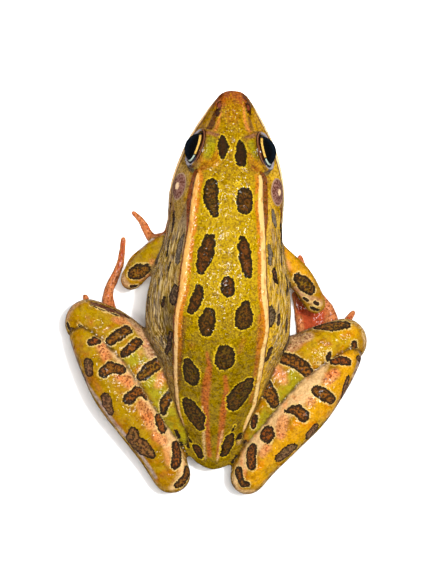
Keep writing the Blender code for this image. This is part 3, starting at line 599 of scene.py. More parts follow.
THIGH_STROKES = strokes(
    Part.LEFT_THIGH,
    (Paint.OLIVE, ((82, 312, 8), (96, 318, 10), (108, 328, 9)), 1.6, 1.0, 0.1),
    (Paint.RUST, ((86, 316, 1.6), (91, 322, 2.0)), 0.8, 0.4, 0.6),
    (Paint.RUST, ((104, 330, 2), (110, 326, 2)), 0.8, 0.4, 0.5),
    (Paint.OLIVE, ((112, 346, 5), (124, 338, 6), (134, 333, 4)), 1.0, 1.0),
    (Paint.LIME, ((128, 362, 7), (140, 355, 8), (152, 350, 4)), 1.2, 1.0, 0.1),
    (Paint.LIME, ((150, 382, 8), (158, 392, 9), (168, 416, 9), (177, 440, 8)), 1.2, 1.0, 0.1),
    (Paint.PINK, ((114, 319, 2.5), (122, 320, 4), (128, 323, 3)), 0.8, 0.9, 0.7),
    (Paint.TAN, ((128, 317, 3), (138, 325, 5), (146, 335, 6), (154, 348, 6)), 0.9, 1.0, 0.7),
    (Paint.PINK, ((140, 352, 3),), 0.8, 0.5, 0.5),
    (Paint.PINK, ((161, 375, 4), (158, 384, 4)), 1.0, 0.8, 0.5),
    (Paint.MAROON, (
        (91.5, 302.6, 1.6), (98, 305, 2.6), (107, 308.6, 2.8), (117, 312.4, 2.6), (127, 316.4, 1.6),
    ), 0.3, 1.0),
    (Paint.TAN, ((66, 318, 2.4), (69, 308, 3), (78, 302, 2.6)), 0.9, 0.9, 0.4),
    # A painted sheen on the thigh's front edge by the knee.
    (Paint.LILAC, ((84, 298.6, 1.4), (90, 299.4, 1.2)), 0.5, 0.6, 0.2),
) + strokes(
    Part.RIGHT_THIGH,
    (Paint.YELLOW, ((312, 350, 10), (330, 340, 12), (348, 334, 9)), 1.6, 1.0, 0.05),
    (Paint.GOLD, ((342, 334, 4), (354, 330, 5)), 1.6, 0.8, 0.05),
    (Paint.RUST, ((343, 336, 2), (348, 333, 2)), 1.0, 0.4, 0.6),
    (Paint.LIME, ((296, 374, 8), (286, 392, 8), (270, 414, 9), (258, 436, 8)), 1.2, 1.0, 0.05),
    (Paint.TAN, ((282, 345, 6), (294, 338, 6), (307, 336, 4)), 0.9, 1.0, 0.8),
    (Paint.PINK, ((277, 370, 6), (284, 381, 4)), 1.2, 0.8, 0.5),
    (Paint.RUST, ((325, 345, 1.6), (331, 344, 1.2)), 0.8, 0.6, 0.3),
    (Paint.CREAM, (
        (292, 334, 0.8), (306, 330, 1.2), (318, 319, 1.2), (336, 316.6, 1.4), (350, 318, 1.6),
        (361, 327, 2),
    ), 0.6, 0.9, 0.1),
    (Paint.CREAM, ((364, 335, 2.4), (365, 345, 2.2)), 0.9, 0.9, 0.3),
)

SHANK_STROKES = strokes(
    Part.LEFT_SHANK,
    (Paint.MUSTARD, (
        (82, 345, 8), (92, 368, 12), (105, 392, 14), (124, 420, 14), (145, 450, 13), (165, 475, 11),
    ), 1.4, 1.0, 0.25),
    (Paint.OLIVE, (
        (88, 346, 5), (94, 360, 5), (103, 378, 5), (116, 402, 6), (130, 423, 6), (146, 441, 6),
        (158, 466, 6),
    ), 1.4, 0.85, 0.05),
    (Paint.OLIVE, ((80, 336, 4), (92, 334, 4), (100, 338, 3)), 0.8, 0.9),
    (Paint.CREAM, (
        (100, 341, 2.5), (110, 348, 5), (120, 357, 7), (129, 365, 8), (138, 382, 7.5), (147, 397, 7.5),
        (155, 414, 7), (165, 433, 7), (176, 454, 6), (183, 468, 4), (184, 476, 3),
    ), 1.2, 1.0, 0.05),
    (Paint.PINK, ((101, 346, 4.5), (106, 355, 5)), 0.9, 1.0, 1.0),
    (Paint.PINK, ((119, 376, 4), (127, 380, 6), (131, 386, 4)), 0.9, 0.9, 1.0),
    (Paint.PINK, ((141, 405, 5), (147, 414, 6), (150, 424, 5)), 0.9, 0.9, 1.0),
    (Paint.PINK, ((156, 434, 5), (163, 440, 5)), 0.9, 0.9, 0.8),
    (Paint.PINK, ((166, 450, 3), (168, 462, 3)), 0.9, 0.7, 0.4),
    (Paint.RUST, ((93, 380, 3), (98, 388, 3)), 1.2, 0.4, 0.4),
    # A painted grazing sheen along the shank's outer edge.
    (Paint.LILAC, (
        (71, 342, 1.4), (78, 364, 1.6), (86, 382, 1.6), (98, 400, 1.6), (112, 420, 1.6), (134, 446, 1.6),
        (155, 477, 1.4),
    ), 0.5, 0.75, 0.4),
    (Paint.CREAM, ((180, 474, 3), (172, 488, 3), (163, 491, 3)), 0.9, 0.8, 0.3),
) + strokes(
    Part.RIGHT_SHANK,
    (Paint.GOLD, (
        (350, 356, 6), (342, 378, 10), (326, 404, 13), (304, 430, 13), (280, 455, 12), (258, 478, 9),
    ), 1.4, 1.0, 0.15),
    (Paint.CREAM, (
        (330, 352, 2), (324, 362, 5), (314, 374, 8), (301, 392, 9), (289, 402, 9), (277, 414, 8.5),
        (267, 427, 8), (257, 440, 7), (247, 455, 6), (240, 468, 5), (235, 480, 3),
    ), 1.2, 1.0, 0.1),
    (Paint.PINK, ((334, 373, 5), (327, 380, 5)), 0.9, 1.0, 1.0),
    (Paint.PINK, ((310, 401, 5),), 0.9, 0.8, 1.0),
    (Paint.PINK, ((282, 421, 6), (280, 434, 5)), 0.9, 0.9, 0.9),
    (Paint.PINK, ((267, 446, 4), (262, 453, 4)), 0.9, 0.9, 0.8),
    (Paint.PINK, ((241, 446, 2), (243, 474, 2.5)), 0.9, 0.5, 0.4),
    (Paint.YELLOW, ((342, 398, 3), (320, 424, 4), (296, 448, 4), (268, 472, 4)), 1.4, 0.6, 0.2),
    # A painted grazing sheen along the shank's outer edge.
    (Paint.LILAC, (
        (362, 350, 1.4), (358, 362, 1.6), (348, 386, 1.8), (338, 404, 1.4), (318, 432, 1.2),
        (290, 460, 1.2),
    ), 0.5, 0.7, 0.4),
    (Paint.CREAM, ((233, 478, 2), (238, 490, 2.5), (250, 492, 2.5)), 0.9, 0.8, 0.4),
)

STROKES = HEAD_STROKES + TRUNK_STROKES + ARM_STROKES + THIGH_STROKES + SHANK_STROKES

# The folds' crests in the picture, from behind the eye to the hip: (column, row, half width). They were
# read off enlarged crops, but most of those below row 310 off a scan for the pale line.
LEFT_FOLD = (
    (197.8, 168, 1.2), (196.6, 179.5, 2.2), (194.7, 189.5, 2.6), (193, 199.5, 2.8), (192, 209.5, 2.5),
    (191.2, 219.5, 2.3), (190.1, 229.5, 2.5), (188.3, 239.5, 2.4), (186.5, 249.5, 2.5), (185.4, 259.5, 3.1),
    (183.8, 269.5, 3.2), (183, 279.5, 3.3), (181.9, 289.5, 3.1), (179.6, 299.5, 2.3), (177.5, 309.5, 2.0),
    (176.4, 318, 1.9), (175.9, 334, 1.6), (176, 342, 1.8), (175.5, 358, 1.7), (175.5, 380, 1.6),
    (176.2, 390, 1.5), (177.2, 400, 1.4), (178.4, 408, 1.3), (180.8, 417, 1.1), (184, 425, 0.8),
)
RIGHT_FOLD = (
    (258.8, 170, 1.3), (260.3, 179.5, 1.8), (260.5, 189.5, 2.0), (260.7, 199.5, 2.3), (261.1, 209.5, 2.5),
    (262, 219.5, 2.5), (262.3, 229.5, 2.4), (262.9, 239.5, 2.4), (262.8, 249.5, 2.3), (263.2, 259.5, 2.3),
    (263, 269.5, 2.5), (262.9, 279.5, 2.6), (263.7, 289.5, 2.8), (264.5, 299.5, 2.9), (265.8, 309.5, 2.4),
    (266, 318, 1.8), (266.4, 326, 1.5), (265.5, 334, 1.5), (264, 342, 1.7), (262.5, 350, 2.0),
    (260.5, 366, 1.9), (257.8, 382, 1.7), (254.9, 398, 1.6), (253.1, 406, 1.6), (249.5, 414, 1.9),
    (245.5, 422, 1.5), (242.4, 430.5, 1.2),
)
# The line of the mouth on the left: (behind the snout, side from the midline, height).
MOUTH = (
    (0, 0, 20.45), (0.2, 1.2, 20.4), (1, 2.9, 20.1), (2, 3.7, 19.9), (4, 5.2, 19.4), (6, 6.45, 19.0),
    (8, 7.6, 18.5), (10, 8.7, 18.1), (12, 9.5, 17.6), (14, 10.2, 17.2), (16, 10.8, 16.7), (18, 11.2, 16.2),
    (20, 11.45, 15.6),
)
# How far the head's midline is off the body's: (behind the snout, along X).
MIDLINE_AT = ((0, -0.36), (12, -0.32), (22, -0.06), (28, 0.0))
# The way that each limb runs, seen from above.
LENGTHWISE = (
    (Part.LEFT_ARM, (9.2, 8.1)), (Part.RIGHT_ARM, (-10.4, 11.0)),
    (Part.LEFT_THIGH, (22.0, -19.8)), (Part.RIGHT_THIGH, (-21.0, -18.4)),
    (Part.LEFT_SHANK, (-18.9, 27.1)), (Part.RIGHT_SHANK, (19.1, 25.3)),
)
# Parts that meet in a crease, with how deep it is, which also sets how dark the crease's painted shade is.
CREASED = (
    (Part.TRUNK, 1.0), (Part.LEFT_ARM, 0.5), (Part.RIGHT_ARM, 0.5), (Part.LEFT_THIGH, 1.0),
    (Part.RIGHT_THIGH, 1.0), (Part.LEFT_SHANK, 1.0), (Part.RIGHT_SHANK, 1.0), (Part.FEET, 0.6),
)


class Side(Enum):
    """A side of the frog, with its sign along X."""

    LEFT = 1
    RIGHT = -1

    def node(self, piece: str) -> str:
        """The name of this side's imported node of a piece."""
        return f"{self.name.lower()}_{piece}"


def smooth(low: float, high: float, values: np.ndarray) -> np.ndarray:
    """A soft step from 0 at one value to 1 at another.

    Args:
        low: The value at which the step starts.
        high: The value at which it ends, which may be the lower one.
        values: The values to step.

    Returns:
        The steps, from 0 to 1.
    """
    t = np.clip((values - low) / (high - low), 0, 1)
    return t * t * (3 - 2 * t)


def bell(values: np.ndarray, width: float) -> np.ndarray:
    """A bell curve of the values, 1 at 0."""
    return np.exp(-((values / width) ** 2))


def blend(under: np.ndarray, over: tuple[float, ...] | np.ndarray, amount: np.ndarray) -> np.ndarray:
    """Colours laid over others.

    Args:
        under: The colours below, one row each.
        over: The colour or colours on top.
        amount: How much of the top colour shows at each row.

    Returns:
        The colours that show.
    """
    return under + (np.asarray(over) - under) * amount[:, None]


def chain_distance(places: np.ndarray, points: np.ndarray, radii: np.ndarray) -> np.ndarray:
    """The distance of each place from a chain of balls joined by cones, negative inside.

    Args:
        places: The places, one row each.
        points: The balls' centres, one row each.
        radii: The balls' radii.

    Returns:
        The signed distances.
    """
    if len(points) == 1:
        return np.linalg.norm(places - points[0], axis=1) - radii[0]
    found = np.full(len(places), np.inf)
    for start, end, first, last in zip(points, points[1:], radii, radii[1:]):
        span = end - start
        share = np.clip((places - start) @ span / (span @ span), 0, 1)
        gap = np.linalg.norm(places - start - share[:, None] * span, axis=1)
        found = np.minimum(found, gap - (first + (last - first) * share))
    return found


class Wire:
    """An output of a shader's node, on which sums are written as Python expressions.

    Attributes:
        bench: The bench that the node stands on.
        socket: The output.
    """

    def __init__(self, bench: "Bench", socket: bpy.types.NodeSocket) -> None:
        """Wraps an output."""
        self.bench = bench
        self.socket = socket

    def _sum(self, operation: str, first: "Wire | float", second: "Wire | float") -> "Wire":
        """A Math node of two values."""
        return self.bench.node("ShaderNodeMath", {"operation": operation}, {0: first, 1: second})

    def __add__(self, other: "Wire | float") -> "Wire":
        """This value and another one."""
        return self._sum("ADD", self, other)

    __radd__ = __add__

    def __sub__(self, other: "Wire | float") -> "Wire":
        """This value less another one."""
        return self._sum("SUBTRACT", self, other)

    def __rsub__(self, other: "Wire | float") -> "Wire":
        """Another value less this one."""
        return self._sum("SUBTRACT", other, self)

    def __mul__(self, other: "Wire | float") -> "Wire":
        """This value times another one."""
        return self._sum("MULTIPLY", self, other)

    __rmul__ = __mul__

    def __truediv__(self, other: "Wire | float") -> "Wire":
        """This value over another one."""
        return self._sum("DIVIDE", self, other)

    def __pow__(self, other: "Wire | float") -> "Wire":
        """This value to a power."""
        return self._sum("POWER", self, other)

    def above(self, other: "Wire | float") -> "Wire":
        """The larger of this value and another one."""
        return self._sum("MAXIMUM", self, other)

    def step(self, low: float, high: float) -> "Wire":
        """A soft step of this value.

        Args:
            low: The value at which the step is 0.
            high: The value at which it is 1.

        Returns:
            The step.
        """
        if low > high:
            return 1.0 - self.step(high, low)
        settings = {"interpolation_type": "SMOOTHSTEP"}
        return self.bench.node("ShaderNodeMapRange", settings, {0: self, 1: low, 2: high, 3: 0.0, 4: 1.0})


class Bench:
    """A material in the making: its nodes and what joins them.

    Attributes:
        material: The material.
        shader: Its Principled BSDF.
        places: The output that gives the place on the object, once it is needed.
    """

    def __init__(self, name: str, **settings: float) -> None:
        """Starts a material.

        Args:
            name: Its name.
            settings: Values of the shader's own sockets, with underscores for spaces.
        """
        self.material = bpy.data.materials.new(name)
        self.material.use_nodes = True
        self.shader = self.material.node_tree.nodes["Principled BSDF"]
        for key, value in settings.items():
            self.shader.inputs[key.replace("_", " ")].default_value = value
        self.places: Wire | None = None

    def node(
        self,
        kind: str,
        settings: dict[str, object],
        inputs: "dict[int | str, Wire | float | tuple]",
        output: int | str = 0,
    ) -> Wire:
        """Adds a node.

        Args:
            kind: Its type.
            settings: Its settings, which are made first.
            inputs: The values or wires of its sockets, by number or name.
            output: The output that is wanted.

        Returns:
            That output.
        """
        made = self.material.node_tree.nodes.new(kind)
        for key, value in settings.items():
            setattr(made, key, value)
        for key, value in inputs.items():
            if isinstance(value, Wire):
                self.material.node_tree.links.new(value.socket, made.inputs[key])
            elif isinstance(value, tuple) and len(value) == 3 and made.inputs[key].type == "RGBA":
                made.inputs[key].default_value = (*value, 1.0)
            else:
                made.inputs[key].default_value = value
        return Wire(self, made.outputs[output])

    def value(self, name: str) -> Wire:
        """A value that the mesh carries."""
        return self.node("ShaderNodeAttribute", {"attribute_name": name}, {}, "Fac")

    def colour(self, name: str) -> Wire:
        """A colour that the mesh carries."""
        return self.node("ShaderNodeAttribute", {"attribute_name": name}, {}, "Color")

    def place(self) -> Wire:
        """The place on the object.

        Returns:
            The place, from one node that all patterns share.
        """
        if self.places is None:
            self.places = self.node("ShaderNodeTexCoord", {}, {}, "Object")
        return self.places

    def flow(self, along: float) -> Wire:
        """The place, turned so that Y runs along the limb or body, and shrunk along it by a factor."""
        turned = self.node("ShaderNodeAttribute", {"attribute_name": "flow"}, {}, "Vector")
        return self.node("ShaderNodeMapping", {}, {"Vector": turned, "Scale": (1.0, 1.0 / along, 1.0)})

    def grain(self, size: float, detail: float = 2.0, along: float = 1.0, shift: float = 0.0) -> Wire:
        """Noise from 0 to 1.

        Args:
            size: The size of its blotches in millimetres.
            detail: How many finer layers it has.
            along: How many times longer they are along the body or limb.
            shift: A place of its own, so that two noises differ.

        Returns:
            The noise.
        """
        place = self.place() if along == 1 else self.flow(along)
        moved = self.node("ShaderNodeVectorMath", {"operation": "ADD"}, {0: place, 1: (shift, shift, shift)})
        inputs = {"Vector": moved, "Scale": 1.0 / (size * MM), "Detail": detail, "Roughness": 0.55}
        return self.node("ShaderNodeTexNoise", {}, inputs, "Fac")

    def pebbles(self, size: float) -> Wire:
        """A layer of rounded grains.

        Args:
            size: Their size in millimetres.

        Returns:
            Their height, from 0 to 1.
        """
        inputs = {"Vector": self.place(), "Scale": 1.0 / (size * MM), "Smoothness": 0.4}
        settings = {"feature": "SMOOTH_F1"}
        return 1.0 - self.node("ShaderNodeTexVoronoi", settings, inputs, "Distance") * 1.3

    def mix(
        self, under: "Wire | tuple", over: "Wire | tuple", amount: "Wire | float", way: str = "MIX"
    ) -> Wire:
        """One colour over another.

        Args:
            under: The colour below.
            over: The colour on top.
            amount: How much of the top colour shows.
            way: How the two are put together.

        Returns:
            The colour that shows.
        """
        settings = {"data_type": "RGBA", "blend_type": way, "clamp_factor": True}
        return self.node("ShaderNodeMix", settings, {0: amount, 6: under, 7: over}, 2)

    def bump(self, height: Wire, distance: float) -> Wire:
        """A bumped normal.

        Args:
            height: The height.
            distance: How high 1 is, in millimetres.

        Returns:
            The normal.
        """
        inputs = {"Height": height, "Distance": distance * MM, "Strength": 1.0}
        return self.node("ShaderNodeBump", {}, inputs)

    def feed(self, **wires: Wire) -> None:
        """Joins wires to the shader's sockets, with underscores for spaces."""
        for key, wire in wires.items():
            self.material.node_tree.links.new(wire.socket, self.shader.inputs[key.replace("_", " ")])


@dataclass(frozen=True)
class SkinFinish:
    """The moist, grainy skin with its spots, folds, lips and lids.

    Attributes:
        rim: The colour of a spot's edge.
        core_brown: The brown of a spot's middle.
        core_olive: The olive of a spot's middle.
        core_grey: The grey of a spot on a flank or on the outer side of a leg.
        halo_back: The line round a spot on the back.
        halo_limb: The line round a spot on a limb.
        granule: The bright grains of the back.
        speck: The dark specks of the limbs.
        flank_grey: The grey patches of the flanks.
        flank_olive: Their olive patches.
        flank_pale: Their pale streaks.
        border: The orange along the inner side of a fold.
        shade: The brown along its outer side.
        lip_line: The dark line along the edge of the lips.
        lid_dark: The dark edge of a lid.
        lid_copper: The copper line along it.
        lid_low: The pale edge of the lower lid.
        border_rust: The dark freckles of the orange border.
        blotch_tint: What the skin's dark blotches multiply it by.
        grain_tint: What its fine dark grain does.
        warm_tint: What the orange blotches of the limbs do.
        streak_tint: What the dark streaks of the flanks do.
        crest_tint: What the blotches of a fold's crest do.
        trunk_spot_tint: What a spot's middle on the trunk is multiplied by, since it is darker there.
        spot_grain_tint: What the fine grain does in a spot.
    """

    rim: tuple[float, float, float] = linear(26, 9, 3)
    core_brown: tuple[float, float, float] = linear(156, 76, 14)
    core_olive: tuple[float, float, float] = linear(132, 102, 6)
    core_grey: tuple[float, float, float] = linear(138, 122, 102)
    halo_back: tuple[float, float, float] = linear(236, 196, 30)
    halo_limb: tuple[float, float, float] = linear(250, 214, 130)
    granule: tuple[float, float, float] = linear(238, 204, 14)
    speck: tuple[float, float, float] = linear(116, 42, 14)
    flank_grey: tuple[float, float, float] = linear(134, 118, 104)
    flank_olive: tuple[float, float, float] = linear(156, 126, 2)
    flank_pale: tuple[float, float, float] = linear(240, 206, 140)
    border: tuple[float, float, float] = linear(214, 124, 24)
    shade: tuple[float, float, float] = linear(138, 62, 26)
    lip_line: tuple[float, float, float] = linear(96, 46, 24)
    lid_dark: tuple[float, float, float] = linear(46, 22, 12)
    lid_copper: tuple[float, float, float] = linear(176, 112, 74)
    lid_low: tuple[float, float, float] = linear(170, 160, 164)
    border_rust: tuple[float, float, float] = (0.20, 0.05, 0.006)
    blotch_tint: tuple[float, float, float] = (0.50, 0.42, 0.25)
    grain_tint: tuple[float, float, float] = (0.30, 0.24, 0.10)
    warm_tint: tuple[float, float, float] = (1.0, 0.66, 0.5)
    streak_tint: tuple[float, float, float] = (0.2, 0.16, 0.14)
    crest_tint: tuple[float, float, float] = (0.74, 0.5, 0.3)
    trunk_spot_tint: tuple[float, float, float] = (0.46, 0.46, 0.4)
    spot_grain_tint: tuple[float, float, float] = (0.5, 0.45, 0.4)

    def make(self) -> bpy.types.Material:
        """Makes the material.

        Returns:
            The material.
        """
        bench = Bench("frog_skin", Specular_IOR_Level=0.4)
        granular = bench.value("granular")
        streaked = bench.value("streaked")
        fine = bench.grain(0.38, 1.0)
        streak = bench.grain(0.34, 2.0, 8.0, shift=0.9)
        pebble = bench.pebbles(0.52)

        colour = self._ground(bench, fine, pebble, streak)
        colour = self._lines(bench, colour)
        colour = self._spots(bench, colour, fine)

        lumps = bench.grain(1.1, 2.0, shift=6.0)
        height = pebble * (0.12 + granular * 0.2) + streak * streaked * 0.5 + fine * 0.12 + lumps * 2.7
        dry = bench.grain(1.5, 2.0, shift=13.0).step(0.49, 0.53)
        dry_spot = bench.grain(0.8, 1.0, shift=21.0).step(0.38, 0.44)
        dry = dry.above(bench.value("spot").step(0.1, -0.1) * dry_spot)
        rough = 0.12 + dry * 0.88
        bench.feed(Base_Color=colour, Roughness=rough, Normal=bench.bump(height, 0.15))
        return bench.material

    def _ground(self, bench: Bench, fine: Wire, pebble: Wire, streak: Wire) -> Wire:
        """The ground colour with its blotches, grains, streaks and specks.

        Args:
            bench: The bench.
            fine: The skin's fine grain.
            pebble: Its rounded grains.
            streak: Its streaks.

        Returns:
            The colour.
        """
        granular, streaked, limb = bench.value("granular"), bench.value("streaked"), bench.value("limb")
        blotch = bench.grain(1.3, 3.0, shift=0.4).step(0.46, 0.68)
        colour = bench.mix(bench.colour("ground"), self.blotch_tint, blotch * 0.6, "MULTIPLY")
        grained = 0.62 - limb * 0.34
        colour = bench.mix(colour, self.grain_tint, fine.step(0.53, 0.38) * grained, "MULTIPLY")
        warm = bench.grain(2.4, 2.0, shift=23.0).step(0.52, 0.66)
        colour = bench.mix(colour, self.warm_tint, warm * limb * 0.7, "MULTIPLY")
        colour = bench.mix(colour, self.granule, pebble.step(0.55, 0.8) * granular * 0.5)
        patch = bench.grain(0.9, 1.0, 4.0, shift=15.0)
        colour = bench.mix(colour, self.flank_grey, patch.step(0.52, 0.6) * streaked * 0.7)
        colour = bench.mix(colour, self.flank_olive, patch.step(0.44, 0.38) * streaked * 0.6)
        colour = bench.mix(colour, self.flank_pale, streak.step(0.47, 0.38) * streaked * 0.75)
        dark = streak.step(0.53, 0.6) * streaked * 0.85
        colour = bench.mix(colour, self.streak_tint, dark, "MULTIPLY")
        dots = bench.grain(0.42, 1.0, shift=2.1).step(0.52, 0.6)
        return bench.mix(colour, self.speck, dots * bench.value("speckled") * 0.85)

    def _lines(self, bench: Bench, colour: Wire) -> Wire:
        """The folds with their borders, the lips' lines and the lids' edges.

        Args:
            bench: The bench.
            colour: The colour below them.

        Returns:
            The colour with them.
        """
        trim = bench.colour("trim")
        freckle = bench.grain(0.36, 1.0, shift=9.0)
        edge = bench.value("fold_edge") + (freckle - 0.5) * 0.3
        orange = bench.mix(self.border, self.border_rust, freckle.step(0.54, 0.62) * 0.8)
        broken = bench.grain(0.9, 1.0, 2.0, shift=17.0).step(0.44, 0.3)
        orange = bench.mix(orange, bench.colour("ground"), broken)
        colour = bench.mix(colour, orange, edge.step(0.9, 0.45) * bench.value("fold_border"))
        brown = bench.mix(self.shade, self.rim, freckle.step(0.5, 0.6) * 0.8)
        colour = bench.mix(colour, brown, (edge - bench.value("fold_shade")).step(0.2, -0.1) * 0.9)
        blotch = bench.grain(0.7, 2.0, 3.0, shift=19.0).step(0.5, 0.66)
        crest = bench.mix(trim, self.crest_tint, blotch * 0.8, "MULTIPLY")
        colour = bench.mix(colour, crest, edge.step(0.12, -0.16))

        above, lip = bench.value("above"), bench.value("lip")
        level = above + (freckle - 0.5) * 0.4
        colour = bench.mix(colour, trim, level.step(0.6, 0.75) * level.step(1.75, 1.45) * lip)
        colour = bench.mix(colour, self.lip_line, level.step(1.42, 1.55) * level.step(1.95, 1.8) * lip * 0.75)
        colour = bench.mix(colour, self.lip_line, level.step(0.75, 0.6) * level.step(-0.4, -0.1) * lip)

        lid, upper = bench.value("lid"), bench.value("lid_upper")
        lower = 1.0 - upper
        colour = bench.mix(colour, self.lid_low, lid.step(0.668, 0.656) * lower)
        colour = bench.mix(colour, self.lid_dark, lid.step(0.72, 0.7) * upper)
        copper = lid.step(0.652, 0.66) * lid.step(0.688, 0.68)
        return bench.mix(colour, self.lid_copper, copper * upper * 0.6)

    def _spots(self, bench: Bench, colour: Wire, fine: Wire) -> Wire:
        """The spots, dark at the edge and brown, olive or grey inside, with a broken bright line round.

        Args:
            bench: The bench.
            colour: The colour below them.
            fine: The skin's fine grain.

        Returns:
            The colour with them.
        """
        wander = (bench.grain(0.34, 1.0, shift=3.3) - 0.5) * 0.7
        wander = wander + (bench.grain(1.5, 1.0, shift=5.0) - 0.5) * 0.7
        edge = bench.value("spot") + wander
        bright = bench.mix(self.halo_back, self.halo_limb, bench.value("limb"))
        broken = bench.grain(0.6, 1.0, shift=11.0).step(0.34, 0.5)
        around = edge.step(0.36, 0.12) * broken * bench.value("halo") * 0.85
        colour = bench.mix(colour, bright, around)
        core, grey = bench.value("spot_core"), bench.value("spot_grey")
        olive = core * (0.5 + bench.grain(1.1, 1.0, shift=7.0).step(0.36, 0.6) * 0.5)
        middle = bench.mix(self.core_brown, self.core_olive, olive)
        middle = bench.mix(middle, self.trunk_spot_tint, 1.0 - bench.value("limb"), "MULTIPLY")
        middle = bench.mix(middle, self.core_grey, grey)
        dots = bench.grain(0.46, 2.0, shift=8.0).step(0.44, 0.56) * (0.92 - grey * 0.4)
        mottled = bench.mix(middle, self.rim, dots.above(0.0 - core))
        inner = bench.mix(self.rim, mottled, (edge * (1.0 + grey * 2.0)).step(-0.25, -0.85))
        dark = bench.mix(inner, self.spot_grain_tint, fine.step(0.55, 0.4) * 0.5, "MULTIPLY")
        return bench.mix(colour, dark, edge.step(0.05, -0.05) * 0.98)


@dataclass(frozen=True)
class EyeFinish:
    """The eyeball: black above, with a fine gold line along the upper lid and a flecked iris below.

    Attributes:
        gold: The colour of the line.
        mint: The pale crescent at the rear corner.
        slate: The grey of the rear corner.
        iris: The colour of the iris.
        flecks: The gold flecks of the iris below the pupil.
        copper: The thin line outside the gold one.
        black: The black of the pupil.
        sheen: The black of its upper part, with a tinge of blue.
        tarnish: The dark flecks of the gold line.
    """

    gold: tuple[float, float, float] = linear(255, 206, 96)
    mint: tuple[float, float, float] = linear(206, 226, 206)
    slate: tuple[float, float, float] = linear(62, 62, 74)
    iris: tuple[float, float, float] = linear(44, 20, 8)
    flecks: tuple[float, float, float] = linear(150, 98, 34)
    copper: tuple[float, float, float] = linear(150, 84, 46)
    black: tuple[float, float, float] = (0.003, 0.003, 0.003)
    sheen: tuple[float, float, float] = (0.005, 0.008, 0.013)
    tarnish: tuple[float, float, float] = (0.34, 0.14, 0.04)

    def make(self) -> bpy.types.Material:
        """Makes the material.

        Returns:
            The material.
        """
        bench = Bench("frog_eye", Roughness=0.12, Coat_Roughness=0.02, Specular_IOR_Level=0.08)
        rear, up = bench.value("rearward"), bench.value("upward")
        flecks = bench.grain(0.22, 3.0)
        ring = ((rear / 0.82) ** 2.0 + (up / 0.77) ** 2.0) ** 0.5
        bronze = flecks.step(0.5, 0.62) * up.step(-0.4, -0.6)
        black = bench.mix(self.black, self.sheen, up.step(0.5, 0.1))
        colour = bench.mix(black, self.flecks, bronze)
        colour = bench.mix(colour, self.iris, ring.step(1.06, 1.1) * up.step(0.1, 0.3))
        colour = bench.mix(colour, self.slate, ring.step(1.06, 1.1) * rear.step(0.5, 0.6))
        line = ring.step(0.965, 0.985) * ring.step(1.08, 1.05) * up.step(0.3, 0.45) * rear.step(0.44, 0.34)
        shiny = bench.mix(self.gold, self.tarnish, flecks.step(0.5, 0.6) * 0.75)
        colour = bench.mix(colour, shiny, line)
        crescent = ring.step(0.985, 1.005) * ring.step(1.065, 1.045)
        crescent = crescent * rear.step(0.44, 0.5) * up.step(-0.36, -0.26)
        colour = bench.mix(colour, self.mint, crescent)
        thin = ring.step(1.14, 1.15) * ring.step(1.2, 1.18) * up.step(0.3, 0.5)
        colour = bench.mix(colour, self.copper, thin)
        bench.feed(Base_Color=colour, Coat_Weight=0.3 + up.step(0.2, 0.6) * 0.7)
        return bench.material


@dataclass(frozen=True)
class EardrumFinish:
    """The eardrum's membrane: mottled purple-brown with a pale middle and a pale rim.

    Attributes:
        dark: The darker of its mottles.
        light: The lighter ones.
        middle: The pale patch in its middle.
        rim: Its rim.
    """

    dark: tuple[float, float, float] = linear(98, 52, 36)
    light: tuple[float, float, float] = linear(162, 114, 98)
    middle: tuple[float, float, float] = linear(255, 214, 164)
    rim: tuple[float, float, float] = linear(186, 150, 118)

    def make(self) -> bpy.types.Material:
        """Makes the material.

        Returns:
            The material.
        """
        bench = Bench(
            "frog_eardrum", Roughness=0.5, Coat_Weight=0.25, Coat_Roughness=0.12, Specular_IOR_Level=0.04
        )
        out = bench.value("outward")
        mottle = bench.grain(0.4, 2.0)
        colour = bench.mix(self.dark, self.light, mottle.step(0.4, 0.6))
        wander = (bench.grain(0.5, 1.0, shift=4.0) - 0.5) * 0.3
        colour = bench.mix(colour, self.middle, (out + wander).step(0.32, 0.2))
        colour = bench.mix(colour, self.rim, out.step(0.86, 0.94) * 0.85)
        bench.feed(Base_Color=colour, Normal=bench.bump(mottle, 0.05))
        return bench.material


@dataclass(frozen=True)
class FloorFinish:
    """The pale, plain floor, lit from below under the frog's front, where the picture has no shadow.

    Attributes:
        white: Its colour.
        shade: The colour of its faint blotches.
        lit: Where along Y, in metres, the light from below starts, and where it is full.
    """

    white: tuple[float, float, float] = (0.94, 0.94, 0.94)
    shade: tuple[float, float, float] = (0.93, 0.93, 0.93)
    lit: tuple[float, float] = (-0.002, -0.008)

    def make(self) -> bpy.types.Material:
        """Makes the material.

        Returns:
            The material.
        """
        bench = Bench("pale_floor", Roughness=0.9, Specular_IOR_Level=0.0, Emission_Strength=0.75)
        along = bench.node("ShaderNodeSeparateXYZ", {}, {0: bench.place()}, 1)
        glow = bench.mix((0.0, 0.0, 0.0), (1.0, 1.0, 1.0), along.step(*self.lit))
        colour = bench.mix(self.white, self.shade, bench.grain(60.0, 1.0))
        bench.feed(Base_Color=colour, Emission_Color=glow)
        return bench.material


def as_object(name: str, mesh: bpy.types.Mesh) -> bpy.types.Object:
    """Puts a mesh in the scene, at the origin.

    Args:
        name: The object's name.
        mesh: The mesh.

    Returns:
        The object.
    """
    made = bpy.data.objects.new(name, mesh)
    bpy.context.scene.collection.objects.link(made)
    return made


def merged_copy(name: str) -> bmesh.types.BMesh:
    """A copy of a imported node's mesh with its loose triangles joined.

    Args:
        name: The node's name.

    Returns:
        The copy.
    """
    form = bmesh.new()
    form.from_mesh(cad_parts[name].data)
    bmesh.ops.remove_doubles(form, verts=form.verts, dist=1e-6)
    form.normal_update()
    return form


def line_at(line: tuple[tuple[float, float], ...], at: np.ndarray) -> np.ndarray:
    """The values of a line of (place, value) points at some places."""
    return np.interp(at, [p for p, _ in line], [v for _, v in line])


